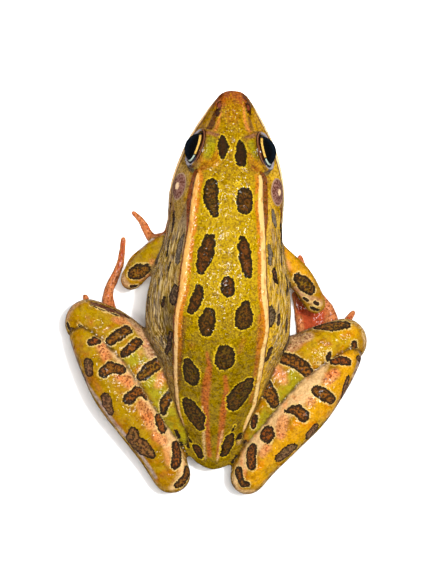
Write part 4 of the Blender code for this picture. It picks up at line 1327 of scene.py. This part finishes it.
def eye_direction(side: Side) -> Vector:
    """The direction in which an eye looks: out, a little forward and up.

    Args:
        side: The eye's side.

    Returns:
        The direction.
    """
    level = math.cos(GAZE_UP)
    out, forward = level * math.cos(GAZE_FORWARD), level * math.sin(GAZE_FORWARD)
    return Vector((side.value * out, -forward, math.sin(GAZE_UP)))


def node_middle(name: str) -> Vector:
    """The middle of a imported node's box, in millimetres."""
    low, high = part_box(name)
    return (low + high) / 2 / MM


def eardrum_middle(side: Side) -> Vector:
    """The middle of an eardrum, a little behind its node's, and on the left a little higher."""
    shift = Vector((0, 0.3, 0.7)) if side is Side.LEFT else Vector((0, 0.5, 0))
    return node_middle(side.node("eardrum")) + shift


@dataclass
class Skin:
    """The one skin that covers all the flesh.

    What its methods work out for each point of the skin is kept on it under plain names, and _carry
    gives it to the mesh.

    Attributes:
        swell: How far each node's copy is swollen so that it joins its neighbours.
        shrink: How much of that the smoothing takes off again where it is fullest.
        voxel: The size of the skin's faces.
        passes: How often the skin is smoothed.
        head_softness: How strongly the head is smoothed, beside 1 for the trunk.
        fine_softness: How strongly the digits and the skin round the eyes are.
        eye_zone: How far from an eye's middle the skin is smoothed less.
        lid_zone: How far from it the lids reach.
        fold_height: How far the folds stand up.
        furrow_depth: How deep the furrow along each fold is.
        crease_depth: How deep the creases between limbs and body are.
        mouth_depth: How deep the line of the mouth is.
        lip_height: How far the lip above it stands out.
        lid_height: How far the edges of the lids do.
        ring_height: How far the ring round an eardrum does.
        ring_radius: The ring's radius.
        grain_height: How high the swells of the trunk's skin are.
        wrinkle_height: How high the wrinkles of the flanks are.
        spot_reach: The distance from a spot beyond which it doesn't matter.
        steepest: How many times wider a marking may grow on steep skin.
    """

    swell: float = 0.2
    shrink: float = 0.06
    voxel: float = 0.36
    passes: int = 30
    head_softness: float = 0.4
    fine_softness: float = 0.16
    eye_zone: float = 4.8
    lid_zone: float = 4.9
    fold_height: float = 0.3
    furrow_depth: float = 0.1
    crease_depth: float = 0.3
    mouth_depth: float = 0.22
    lip_height: float = 0.1
    lid_height: float = 0.1
    ring_height: float = 0.14
    ring_radius: float = 2.95
    grain_height: float = 0.05
    wrinkle_height: float = 0.12
    spot_reach: float = 3.0
    steepest: float = 1.9
    places: np.ndarray = field(default=None, repr=False)
    normals: np.ndarray = field(default=None, repr=False)
    tree: BVHTree = field(default=None, repr=False)

    def build(self) -> bpy.types.Object:
        """Makes the skin.

        Returns:
            The skin's object.
        """
        self._wrap()
        self._label()
        self._soften()
        self._measure()
        self._find_creases()
        self._raise_details()
        self._measure()
        self._lay_paint()
        self._lay_spots()
        self._carry()
        self.mesh.shade_smooth()
        self.mesh.materials.append(SkinFinish().make())
        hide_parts(*FLESH)
        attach(self.obj, "root")
        return self.obj

    def _wrap(self) -> None:
        """Joins swollen copies of the flesh into one mesh of even faces."""
        whole = bmesh.new()
        for name in FLESH:
            form = merged_copy(name)
            for vert in form.verts:
                vert.co += vert.normal * self.swell * MM
            part = bpy.data.meshes.new(name)
            form.to_mesh(part)
            form.free()
            whole.from_mesh(part)
            bpy.data.meshes.remove(part)
        rough = bpy.data.meshes.new("rough")
        whole.to_mesh(rough)
        whole.free()
        source = as_object("rough", rough)
        remesh = source.modifiers.new("even", "REMESH")
        remesh.mode = "VOXEL"
        remesh.voxel_size = self.voxel * MM
        remesh.adaptivity = 0.0
        graph = bpy.context.evaluated_depsgraph_get()
        self.mesh = bpy.data.meshes.new_from_object(source.evaluated_get(graph))
        bpy.data.objects.remove(source)
        bpy.data.meshes.remove(rough)
        self._keep_largest()
        self.mesh.name = "frog_skin"
        self.obj = as_object("frog_skin", self.mesh)
        LOG.info("skin: %d faces", len(self.mesh.polygons))

    def _keep_largest(self) -> None:
        """Keeps only the largest connected surface."""
        count = len(self.mesh.vertices)
        edges = np.empty(len(self.mesh.edges) * 2, np.int32)
        self.mesh.edges.foreach_get("vertices", edges)
        edges = edges.reshape(-1, 2)
        label = np.arange(count)
        while True:
            low = np.minimum(label[edges[:, 0]], label[edges[:, 1]])
            new = label.copy()
            np.minimum.at(new, edges[:, 0], low)
            np.minimum.at(new, edges[:, 1], low)
            new = new[new]
            if np.array_equal(new, label):
                break
            label = new
        names, sizes = np.unique(label, return_counts=True)
        LOG.info("skin: %d surfaces", len(names))
        if len(names) == 1:
            return
        kept = names[np.argmax(sizes)]
        form = bmesh.new()
        form.from_mesh(self.mesh)
        form.verts.ensure_lookup_table()
        loose = [form.verts[int(k)] for k in np.flatnonzero(label != kept)]
        bmesh.ops.delete(form, geom=loose, context="VERTS")
        form.to_mesh(self.mesh)
        form.free()

    def _measure(self) -> None:
        """Reads the skin's places and normals, in millimetres, and readies it for casting."""
        self.mesh.update()
        count = len(self.mesh.vertices)
        places = np.empty(count * 3, np.float32)
        normals = np.empty(count * 3, np.float32)
        self.mesh.vertices.foreach_get("co", places)
        self.mesh.vertices.foreach_get("normal", normals)
        self.places = places.reshape(-1, 3).astype(float) / MM
        self.normals = normals.reshape(-1, 3).astype(float)
        form = bmesh.new()
        form.from_mesh(self.mesh)
        self.tree = BVHTree.FromBMesh(form)
        form.free()

    def _write(self) -> None:
        """Puts the skin's places back into its mesh."""
        self.mesh.vertices.foreach_set("co", (self.places * MM).astype(np.float32).ravel())
        self.mesh.update()

    def _label(self) -> None:
        """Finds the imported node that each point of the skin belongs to."""
        self._measure()
        edges = np.empty(len(self.mesh.edges) * 2, np.int32)
        self.mesh.edges.foreach_get("vertices", edges)
        self.edges = edges.reshape(-1, 2)
        count = len(self.mesh.vertices)
        self.degree = np.bincount(self.edges.ravel(), minlength=count).astype(float)
        verts, faces, owners = [], [], []
        for index, name in enumerate(FLESH):
            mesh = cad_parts[name].data
            first = len(verts)
            verts += [v.co.copy() for v in mesh.vertices]
            faces += [tuple(first + k for k in p.vertices) for p in mesh.polygons]
            owners += [index] * len(mesh.polygons)
        tree = BVHTree.FromPolygons(verts, faces)
        near = tree.find_nearest
        self.owner = np.array([owners[near(v.co)[2]] for v in self.mesh.vertices])

    def on(self, *names: str) -> np.ndarray:
        """Whether each point of the skin belongs to one of the named nodes."""
        wanted = [FLESH.index(name) for name in names]
        return np.isin(self.owner, wanted)

    def blurred(self, values: np.ndarray, passes: int, weight: np.ndarray | float = 1.0) -> np.ndarray:
        """Values averaged with their neighbours' over the skin.

        Args:
            values: The values, one for each point or one row for each.
            passes: How often they are averaged.
            weight: How fully each point takes part.

        Returns:
            The averaged values.
        """
        start, end = self.edges.T
        count = len(self.degree)
        flat = values.ndim == 1
        out = values[:, None].astype(float) if flat else values.astype(float)
        share = np.broadcast_to(np.asarray(weight, float), (count,))[:, None] * 0.5
        for _ in range(passes):
            total = np.empty_like(out)
            for k in range(out.shape[1]):
                total[:, k] = np.bincount(start, out[end, k], count) + np.bincount(end, out[start, k], count)
            out = out + share * (total / self.degree[:, None] - out)
        return out[:, 0] if flat else out

    def _soften(self) -> None:
        """Smooths the skin, least on the digits and round the eyes, and shrinks it back to size."""
        weight = np.full(len(self.places), 1.0)
        weight[self.on(*Part.HEAD.value)] = self.head_softness
        weight[self.on(*Part.HANDS.value, *Part.FEET.value)] = self.fine_softness
        for side in Side:
            gap = np.linalg.norm(self.places - np.array(node_middle(side.node("eye"))), axis=1)
            weight = np.where(gap < self.eye_zone, self.fine_softness, weight)
        weight = self.blurred(weight, 6)
        self.places = self.blurred(self.places, self.passes, weight)
        self._write()
        self._measure()
        inwards = self.swell - self.shrink * self.blurred(weight, 4)
        self.places -= self.normals * inwards[:, None]
        self.places[:, 2] = np.maximum(self.places[:, 2], 0.0)
        self._write()

    def land(self, x: float, y: float, aim: Aim) -> tuple[np.ndarray, np.ndarray] | None:
        """Where a marking's point lies on the skin.

        Args:
            x: The column in the picture, or from a side the distance behind the snout.
            y: The row in the picture, or from a side the height.
            aim: The side from which the point is given.

        Returns:
            The place and the skin's normal there, or None where the line misses the skin.
        """
        if aim is Aim.ABOVE:
            start, direction = PICTURE.ray(x, y)
            start = start * MM
        else:
            sign = 1 if aim is Aim.LEFT else -1
            start = Vector((sign * FAR, SNOUT_Y + x, y)) * MM
            direction = Vector((-sign, 0, 0))
        hit, normal, _, _ = self.tree.ray_cast(start, direction)
        if hit is None:
            return None
        return np.array(hit) / MM, np.array(normal)

    def chain(self, path: tuple, aim: Aim) -> tuple[np.ndarray, np.ndarray] | None:
        """A marking's path on the skin, with its half widths as they are on the skin itself.

        Args:
            path: The path as a stroke gives it.
            aim: The side from which it is given.

        Returns:
            The points and the half widths, or None where no point meets the skin.
        """
        points, radii = [], []
        for k, (x, y, radius) in enumerate(path):
            found = self.land(x, y, aim)
            if found is None:
                continue
            place, normal = found
            size = radius
            if aim is Aim.ABOVE:
                after, before = path[min(k + 1, len(path) - 1)], path[max(k - 1, 0)]
                axes = PICTURE.axes()
                run = axes @ Vector((after[0] - before[0], before[1] - after[1], 0))
                slope = float(np.hypot(normal[0], normal[1])) / max(float(normal[2]), 0.05)
                if run.length > 0:
                    side = np.array((-run.y, run.x)) / run.length
                    slope = abs(float(normal[:2] @ side)) / max(float(normal[2]), 0.05)
                size = radius * PICTURE.pixel(place[2]) * min(math.sqrt(1 + slope * slope), self.steepest)
            points.append(place)
            radii.append(size)
        if not points:
            return None
        return np.array(points), np.array(radii)

    def _find_creases(self) -> None:
        """Finds how near each point is to a crease where two parts of the body meet."""
        group = np.full(len(self.places), -1)
        depth = np.zeros(len(self.places))
        for index, (part, deep) in enumerate(CREASED):
            mine = self.on(*part.value)
            group[mine] = index
            depth[mine] = deep
        start, end = self.edges.T
        cut = (group[start] != group[end]) & (group[start] >= 0) & (group[end] >= 0)
        mark = np.zeros(len(self.places))
        deep = np.minimum(depth[start], depth[end])[cut]
        np.maximum.at(mark, start[cut], deep)
        np.maximum.at(mark, end[cut], deep)
        self.crease = np.clip(self.blurred(mark, 3) * 1.6, 0, 1)

    def _lid_angles(self, side: Side) -> tuple[np.ndarray, np.ndarray, np.ndarray]:
        """Where each point lies round an eye.

        Args:
            side: The eye's side.

        Returns:
            How far each point is from the eye's middle, at which angle to its gaze in degrees, and how
            high it lies as a share of that distance.
        """
        spoke = self.places - np.array(node_middle(side.node("eye")))
        reach = np.linalg.norm(spoke, axis=1)
        cosine = np.clip(spoke @ np.array(eye_direction(side)) / reach, -1, 1)
        return reach, np.degrees(np.arccos(cosine)), spoke[:, 2] / reach

    def _raise_details(self) -> None:
        """Raises the folds, lids, lips, rings and wrinkles, and sinks the creases and the mouth's line."""
        behind = self.places[:, 1] - SNOUT_Y
        self.trunk = self.on(*Part.TRUNK.value)
        self.fold, self.fold_edge = self._fold_distance()
        self.fold_end = smooth(74, 66, behind) * smooth(13.5, 17, behind)
        self.off_middle = self.places[:, 0] - (line_at(MIDLINE_AT, behind) + MIDLINE_X)
        self.mouth = self._mouth_distance()
        lift = self.fold_height * bell(self.fold, 0.55) * self.fold_end
        lift -= self.crease_depth * self.crease
        lift -= self.furrow_depth * bell(self.fold - 1.1, 0.45) * self.fold_end
        lift -= self.mouth_depth * bell(self.mouth, 0.22) * smooth(21, 18, behind)
        lift += self.lip_height * bell(self.mouth - 0.7, 0.45) * smooth(24, 18, behind)
        for side in Side:
            reach, angle, _ = self._lid_angles(side)
            lift += smooth(5.4, 4.4, reach) * self.lid_height * bell(angle - 68, 6)
            ring = np.linalg.norm(self.places - np.array(eardrum_middle(side)), axis=1)
            lift += self.ring_height * bell(ring - self.ring_radius, 0.3)
        grain = np.array([noise.noise(Vector(p) * 0.9) for p in self.places])
        wrinkles = np.array([noise.noise(Vector((p[0] * 1.1, p[1] * 0.22, p[2] * 1.1))) for p in self.places])
        flank = self.trunk * smooth(0.9, 0.55, self.normals[:, 2]) * smooth(-0.5, -0.1, self.normals[:, 2])
        self.flank = self.blurred(flank * smooth(24, 30, behind), 5)
        lift += self.grain_height * grain * self.trunk + self.wrinkle_height * wrinkles * self.flank
        self.places += self.normals * self.blurred(lift, 1)[:, None]
        self.places[:, 2] = np.maximum(self.places[:, 2], 0.0)
        self._write()

    def _fold_distance(self) -> tuple[np.ndarray, np.ndarray]:
        """Measures the trunk from the folds.

        Returns:
            The distance of each point from the nearer fold's crest, and from the edge of its colour.
        """
        crest = np.full(len(self.places), FAR)
        edge = crest.copy()
        for path in (LEFT_FOLD, RIGHT_FOLD):
            points, radii = self.chain(path, Aim.ABOVE)
            places = self.places[self.trunk]
            crest[self.trunk] = np.minimum(crest[self.trunk], chain_distance(places, points, radii * 0))
            edge[self.trunk] = np.minimum(edge[self.trunk], chain_distance(places, points, radii))
        return crest, edge

    def _mouth_distance(self) -> np.ndarray:
        """Measures the head from the line of the mouth.

        Returns:
            The distance of each point from it.
        """
        found = np.full(len(self.places), FAR)
        head = self.on("head")
        at = np.array([p[0] for p in MOUTH])
        centre = line_at(MIDLINE_AT, at) + MIDLINE_X
        for side in Side:
            points = np.array([(c + side.value * p[1], SNOUT_Y + p[0], p[2]) for c, p in zip(centre, MOUTH)])
            near = chain_distance(self.places[head], points, np.zeros(len(points)))
            found[head] = np.minimum(found[head], near)
        return found

    def _lay_paint(self) -> None:
        """Works out the ground colour of each point of the skin, without its spots."""
        behind = self.places[:, 1] - SNOUT_Y
        left = self.off_middle > 0
        beyond = self._beyond_fold()
        on_digits = self.blurred(self.on(*Part.HANDS.value, *Part.FEET.value).astype(float), 6)
        on_trunk = self.blurred(self.trunk.astype(float), 3)
        self.limb = 1 - on_trunk
        self.speckled = on_digits * 0.8
        trunk = self._trunk_ground(behind, left, beyond)
        self.ground = blend(self._limb_ground(on_digits), trunk, smooth(0.3, 0.7, on_trunk))

        for stroke in STROKES:
            self._lay_stroke(stroke)
        self._lay_folds(behind, left, beyond)
        self._lay_lips(behind, left)
        self._lay_lids()
        # Painted shade darkens the creases between parts, except where the skin faces down.
        dark = self.crease**2 * 0.8 * smooth(-0.2, 0.2, self.normals[:, 2])
        self.ground = blend(self.ground, Paint.CREASE.value, dark)
        self._lay_grain(behind, beyond, on_digits, on_trunk)

    def _trunk_ground(self, behind: np.ndarray, left: np.ndarray, beyond: np.ndarray) -> np.ndarray:
        """Colours the back, the flanks and the belly.

        Args:
            behind: How far behind the snout each point is.
            left: Whether it is on the left.
            beyond: How far it lies outside the fold of its side.

        Returns:
            The colours, one row for each point.
        """
        crown = np.tile(Paint.CROWN.value, (len(self.places), 1))
        back = blend(crown, Paint.BACK.value, smooth(14, 22, behind))
        back = blend(back, Paint.BACK_REAR.value, smooth(38, 54, behind))
        # The left flank takes the darker paint: painted shade.
        flank = np.where(left[:, None], Paint.FLANK_LEFT.value, Paint.FLANK.value)
        flank = blend(flank, Paint.CHEEK.value, smooth(16, 12, behind))
        trunk = blend(back, flank, smooth(-0.2, 0.5, beyond))
        low = smooth(0.05, -0.45, self.normals[:, 2]) * smooth(18, 15.5, self.places[:, 2])
        return blend(trunk, Paint.BELLY.value, low)

    def _limb_ground(self, on_digits: np.ndarray) -> np.ndarray:
        """Colours the limbs, the digits and the webs.

        Args:
            on_digits: How far each point belongs to a hand or a foot.

        Returns:
            The colours, one row for each point.
        """
        count = len(self.places)
        up, z = self.normals[:, 2], self.places[:, 2]
        under = smooth(0.0, -0.5, up)
        limb = blend(np.tile(Paint.MUSTARD.value, (count, 1)), Paint.UNDERSIDE.value, under)
        digits = blend(np.tile(Paint.DIGIT.value, (count, 1)), Paint.UNDERSIDE.value, under)
        colour = blend(limb, digits, smooth(0.2, 0.8, on_digits))
        web = self.on(*Part.FEET.value) & (up > 0.9) & (z > 0.75) & (z < 1.45)
        web = smooth(0.45, 0.85, self.blurred(web.astype(float), 4))
        self.speckled *= 1 - web
        return blend(colour, Paint.WEB.value, web)

    def _lay_grain(
        self, behind: np.ndarray, beyond: np.ndarray, on_digits: np.ndarray, on_trunk: np.ndarray
    ) -> None:
        """Works out where the back's bright grains show, and the flanks' and legs' streaks.

        Args:
            behind: How far behind the snout each point is.
            beyond: How far it lies outside the fold of its side.
            on_digits: How far it belongs to a hand or a foot.
            on_trunk: How far it belongs to the trunk.
        """
        up = self.normals[:, 2]
        self.granular = on_trunk * smooth(0.35, -0.1, beyond) * smooth(0.5, 0.8, up)
        self.granular *= smooth(70, 40, behind)
        outer = self.limb * smooth(0.66, 0.4, up) * smooth(-0.4, 0.0, up) * (1 - on_digits)
        outer *= 1 - self.on(*Part.LEFT_ARM.value, *Part.RIGHT_ARM.value)
        outside = smooth(0.2, 2.4, beyond) * (1 - 0.4 * smooth(50, 64, behind))
        light = self.ground @ np.array((0.3, 0.6, 0.1))
        pale = 0.25 + 0.75 * smooth(0.02, 0.12, light)
        self.streaked = np.maximum(self.flank * outside, outer * 0.8) * pale

    def _beyond_fold(self) -> np.ndarray:
        """Measures how far the trunk reaches beyond its folds.

        Returns:
            How far each point lies outside the fold of its side, less than 0 on the back.
        """
        found = np.zeros(len(self.places))
        for side, path in ((Side.LEFT, LEFT_FOLD), (Side.RIGHT, RIGHT_FOLD)):
            points, _ = self.chain(path, Aim.ABOVE)
            order = np.argsort(points[:, 1])
            at = np.interp(self.places[:, 1], points[order, 1], points[order, 0])
            front = smooth(-24, -29, self.places[:, 1])
            at = at * (1 - front) + front * (side.value * 2.9 + MIDLINE_X)
            mine = side.value * self.off_middle > 0
            found[mine] = (side.value * (self.places[:, 0] - at))[mine]
        return found

    def _lay_stroke(self, stroke: Stroke) -> None:
        """Lays one stroke of colour on the skin.

        Args:
            stroke: The stroke.
        """
        found = self.chain(stroke.path, Aim.ABOVE)
        if found is None:
            LOG.warning("a stroke of %s misses the skin", stroke.paint.name)
            return
        points, radii = found
        mine = np.flatnonzero(self.on(*stroke.part.value))
        near = chain_distance(self.places[mine], points, radii)
        amount = np.zeros(len(self.places))
        amount[mine] = smooth(stroke.soft / 2, -stroke.soft / 2, near) * stroke.strength
        self.ground = blend(self.ground, stroke.paint.value, amount)
        self.speckled = self.speckled + (stroke.speckle - self.speckled) * amount

    def _lay_folds(self, behind: np.ndarray, left: np.ndarray, beyond: np.ndarray) -> None:
        """Works out the colour of the folds' crests and where their orange and brown borders show.

        Args:
            behind: How far behind the snout each point is.
            left: Whether it is on the left.
            beyond: How far it lies outside the fold of its side.
        """
        # The left side takes the darker fold paints: painted shade.
        crest = np.where(left[:, None], Paint.FOLD_LEFT.value, Paint.FOLD_RIGHT.value)
        rear = np.where(left[:, None], Paint.FOLD_LEFT_REAR.value, Paint.FOLD_RIGHT_REAR.value)
        self.trim = blend(crest, rear, smooth(40, 50, behind))
        self.fold_edge = self.fold_edge + 3 * (1 - self.fold_end)
        self.fold_border = smooth(0.1, -0.1, beyond) * smooth(58, 44, behind) * smooth(15, 18, behind) * 0.9
        front = smooth(30, 22, behind) * smooth(15, 17, behind)
        self.fold_shade = np.where(beyond > 0, 0.42 + 1.3 * front, -1.0) * self.fold_end

    def _lay_lips(self, behind: np.ndarray, left: np.ndarray) -> None:
        """Works out where the lips' lines lie, and colours the lips and the throat's edge.

        Args:
            behind: How far behind the snout each point is.
            left: Whether it is on the left.
        """
        at = np.array([p[0] for p in MOUTH])
        level = np.interp(behind, at, [p[2] for p in MOUTH])
        self.above = (self.places[:, 2] - level) / (0.74 + 0.26 * smooth(8, 14, behind))
        head = self.blurred(self.trunk.astype(float), 2) * (behind < 40)
        facing = smooth(0.93, 0.75, self.normals[:, 2])
        self.lip = facing * smooth(34, 27, behind) * smooth(1.5, 4.5, behind) * head
        # The left lip takes the darker paint: painted shade.
        lips = np.where(left[:, None], Paint.LIP_LEFT.value, Paint.LIP_RIGHT.value)
        self.trim = blend(self.trim, lips, smooth(2.6, 2.2, self.above) * self.lip)
        edge = smooth(1.9, 2.1, self.above) * smooth(3.1, 2.6, self.above) * facing * head
        edge *= smooth(17, 21, behind) * smooth(34, 28, behind)
        self.ground = blend(self.ground, Paint.EDGE_BROWN.value, edge * 0.85)
        under = smooth(-0.3, -0.8, self.above) * head * smooth(8, 4, behind)
        self.ground = blend(self.ground, Paint.BELLY.value, under * 0.8)
        line = bell(self.mouth, 0.28) * smooth(21, 19, behind) * 0.9
        self.ground = blend(self.ground, Paint.LIP_EDGE.value, line)

    def _lay_lids(self) -> None:
        """Works out where the lids' edges lie, and darkens their rear corners and rims."""
        self.lid = np.full(len(self.places), 2.0)
        self.lid_upper = np.zeros(len(self.places))
        for side in Side:
            reach, angle, height = self._lid_angles(side)
            near = reach < self.lid_zone
            self.lid[near] = angle[near] / 100
            rear = (self.places[:, 1] - node_middle(side.node("eye")).y) / reach
            corner = near * smooth(92, 84, angle) * smooth(0.35, 0.2, height) * smooth(0.2, 0.5, rear)
            self.ground = blend(self.ground, Paint.SLATE.value, corner * 0.7)
            self.lid_upper[near] = (smooth(0.1, 0.45, height) * smooth(0.72, 0.5, rear))[near]
            rim = near * bell(angle - 73, 4) * smooth(0, 0.3, height) * 0.7
            self.ground = blend(self.ground, Paint.LID_RIM.value, rim)

    def _lay_spots(self) -> None:
        """Works out each point's distance from the edge of the nearest spot, and the spot's middle."""
        count = len(self.places)
        self.spot = np.full(count, self.spot_reach)
        self.core, self.grey, self.halo = np.zeros(count), np.zeros(count), np.zeros(count)
        for spot in SPOTS:
            found = self.chain(spot.path, spot.aim)
            if found is None:
                LOG.warning("a spot at %s misses the skin", spot.path[0])
                continue
            points, radii = found
            mine = np.flatnonzero(self.on(*spot.part.value))
            near = chain_distance(self.places[mine], points, radii)
            closer = near < self.spot[mine]
            self.core[mine[closer]] = spot.core
            self.grey[mine[closer]] = spot.grey
            self.halo[mine[closer]] = spot.halo()
            self.spot[mine[closer]] = near[closer]

    def _carry(self) -> None:
        """Gives the mesh the colours, values and directions that its material reads."""
        values = {
            "spot": self.spot, "spot_core": self.core, "spot_grey": self.grey, "halo": self.halo,
            "limb": self.limb, "granular": self.granular, "speckled": self.speckled,
            "streaked": self.streaked, "fold_edge": self.fold_edge, "fold_border": self.fold_border,
            "fold_shade": self.fold_shade, "above": self.above, "lip": self.lip,
            "lid": self.lid, "lid_upper": self.lid_upper,
        }
        for name, numbers in values.items():
            attribute = self.mesh.attributes.new(name, "FLOAT", "POINT")
            attribute.data.foreach_set("value", numbers.astype(np.float32))
        for name, colours in (("ground", self.ground), ("trim", self.trim)):
            attribute = self.mesh.attributes.new(name, "FLOAT_COLOR", "POINT")
            rows = np.ones((len(self.places), 4), np.float32)
            rows[:, :3] = np.clip(colours, 0, 1)
            attribute.data.foreach_set("color", rows.ravel())
        turned = self.places.copy()
        for part, (x, y) in LENGTHWISE:
            mine = self.on(*part.value)
            length = math.hypot(x, y)
            turned[mine, 0] = self.places[mine, :2] @ (y / length, -x / length)
            turned[mine, 1] = self.places[mine, :2] @ (x / length, y / length)
        attribute = self.mesh.attributes.new("flow", "FLOAT_VECTOR", "POINT")
        attribute.data.foreach_set("vector", (turned * MM).astype(np.float32).ravel())


@dataclass
class Eyeball:
    """An eyeball with a bulging cornea.

    Attributes:
        side: The side of the head that it is on.
        radius: Its radius.
        bulge: How far the cornea stands out.
    """

    side: Side
    radius: float = 3.4
    bulge: float = 0.1

    def build(self) -> bpy.types.Object:
        """Makes the eyeball.

        Returns:
            Its object.
        """
        name = self.side.node("eye")
        centre, gaze = node_middle(name), eye_direction(self.side)
        turn = gaze.to_track_quat("Z", "Y").to_matrix()
        form = bmesh.new()
        bmesh.ops.create_uvsphere(form, u_segments=96, v_segments=64, radius=self.radius)
        level = gaze.cross(Vector((0, 0, 1))).normalized()
        upright = level.cross(gaze)
        if upright.z < 0:
            upright = -upright
        if level.y < 0:
            level = -level
        shares = []
        for vert in form.verts:
            out = (turn @ vert.co).normalized()
            towards = max(out.dot(gaze), 0.0)
            grown = self.radius + self.bulge * max(0.0, (towards - 0.6) / 0.4) ** 1.5
            shares.append((out.dot(level), out.dot(upright)))
            vert.co = (centre + out * grown) * MM
        form.normal_update()
        mesh = bpy.data.meshes.new(f"{name}ball")
        form.to_mesh(mesh)
        form.free()
        for key, k in (("rearward", 0), ("upward", 1)):
            attribute = mesh.attributes.new(key, "FLOAT", "POINT")
            attribute.data.foreach_set("value", [share[k] for share in shares])
        mesh.shade_smooth()
        mesh.materials.append(EyeFinish().make())
        obj = as_object(f"{name}ball", mesh)
        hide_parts(name)
        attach(obj, "root")
        return obj


@dataclass
class Eardrum:
    """The thin round membrane of an eardrum, laid on the skin.

    Attributes:
        side: The side of the head that it is on.
        radius: Its radius.
        dome: How far its middle stands out.
        thickness: Its thickness.
    """

    side: Side
    radius: float = 2.75
    dome: float = 0.16
    thickness: float = 0.2

    def build(self, skin: Skin) -> bpy.types.Object:
        """Makes the eardrum.

        Args:
            skin: The skin that it lies on.

        Returns:
            Its object.
        """
        name = self.side.node("eardrum")
        centre = eardrum_middle(self.side)
        out = Vector((self.side.value, 0, 0))
        hit, normal, _, _ = skin.tree.ray_cast((centre + out * 10) * MM, -out)
        turn = normal.to_track_quat("Z", "Y").to_matrix()
        form = bmesh.new()
        bmesh.ops.create_uvsphere(form, u_segments=64, v_segments=48, radius=self.radius)
        ball = [*form.verts, *form.edges, *form.faces]
        bmesh.ops.bisect_plane(form, geom=ball, plane_co=(0, 0, 0), plane_no=(0, 0, -1), clear_outer=True)
        shares = []
        for vert in form.verts:
            flat = Vector((vert.co.x, vert.co.y, 0))
            share = flat.length / self.radius
            start = hit / MM + turn @ flat + normal * 3
            met, _, _, _ = skin.tree.ray_cast(start * MM, -normal)
            ground = met / MM if met else start - normal * 3
            vert.co = (ground + normal * (self.dome * (1 - share**4) + 0.02)) * MM
            shares.append(share)
        mesh = bpy.data.meshes.new(f"{name}_disc")
        form.normal_update()
        form.to_mesh(mesh)
        form.free()
        attribute = mesh.attributes.new("outward", "FLOAT", "POINT")
        attribute.data.foreach_set("value", shares)
        mesh.shade_smooth()
        mesh.materials.append(EardrumFinish().make())
        obj = as_object(f"{name}_disc", mesh)
        wall = obj.modifiers.new("wall", "SOLIDIFY")
        wall.thickness = self.thickness * MM
        wall.offset = -1.0
        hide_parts(name)
        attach(obj, "root")
        return obj


@dataclass(frozen=True)
class Lamp:
    """A square studio light that faces the frog.

    Attributes:
        name: Its name.
        towards: The direction from the frog to it.
        distance: How far away it is, in metres.
        size: Its width in metres.
        power: Its power in watts.
        mirrored: Whether wet skin mirrors it.
    """

    name: str
    towards: tuple[float, float, float]
    distance: float
    size: float
    power: float
    mirrored: bool = False

    def build(self) -> bpy.types.Object:
        """Makes the light.

        Returns:
            Its object.
        """
        data = bpy.data.lights.new(self.name, "AREA")
        data.shape = "SQUARE"
        data.size = self.size
        data.energy = self.power
        lamp = bpy.data.objects.new(self.name, data)
        lamp.visible_glossy = self.mirrored
        bpy.context.scene.collection.objects.link(lamp)
        direction = Vector(self.towards).normalized()
        lamp.location = direction * self.distance
        lamp.rotation_euler = direction.to_track_quat("Z", "Y").to_euler()
        return lamp


@dataclass
class Studio:
    """The pale floor, the soft light and the camera.

    Attributes:
        reach: Half the floor's width in metres.
        sky: The strength of the even light from all round.
        lamps: The lights.
    """

    reach: float = 1.5
    sky: float = 0.08
    lamps: tuple[Lamp, ...] = (
        Lamp("key", (-0.2, -0.1, 1.0), 0.9, 0.05, 5.8),
        Lamp("front_spark", (-0.1, -0.08, 1.0), 0.9, 0.24, 5.2, True),
        Lamp("back_spark", (0.16, 0.12, 1.0), 0.9, 0.14, 1.8, True),
        Lamp("right_fill", (-1.0, -0.3, 0.7), 0.8, 0.5, 0.5),
        Lamp("left_fill", (1.0, -0.2, 0.9), 0.8, 0.5, 0.35),
        Lamp("front_fill", (0.1, -1.0, 0.8), 0.8, 0.5, 0.4),
        Lamp("back_fill", (0.0, 1.0, 0.9), 0.8, 0.5, 0.3),
    )

    def build(self) -> bpy.types.Object:
        """Makes the studio.

        Returns:
            The floor.
        """
        form = bmesh.new()
        bmesh.ops.create_grid(form, x_segments=8, y_segments=8, size=self.reach)
        mesh = bpy.data.meshes.new("floor")
        form.to_mesh(mesh)
        form.free()
        mesh.materials.append(FloorFinish().make())
        floor = as_object("floor", mesh)
        floor.visible_glossy = False
        for lamp in self.lamps:
            lamp.build()
        world = bpy.data.worlds.new("studio_air")
        world.use_nodes = True
        background = world.node_tree.nodes["Background"]
        background.inputs["Color"].default_value = (1, 1, 1, 1)
        background.inputs["Strength"].default_value = self.sky
        world.cycles_visibility.glossy = False
        bpy.context.scene.world = world
        bpy.context.scene.view_settings.view_transform = "Standard"
        PICTURE.build()
        return floor


def main() -> None:
    """Builds the frog's looks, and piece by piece."""
    logging.basicConfig(level=logging.INFO, format="%(message)s")
    Studio().build()
    LOG.info("studio")
    skin = Skin()
    skin.build()
    LOG.info("skin done")
    for side in Side:
        Eyeball(side).build()
        LOG.info("%s eye", side.name.lower())
        Eardrum(side).build(skin)
        LOG.info("%s eardrum", side.name.lower())


if __name__ == "__main__":
    main()
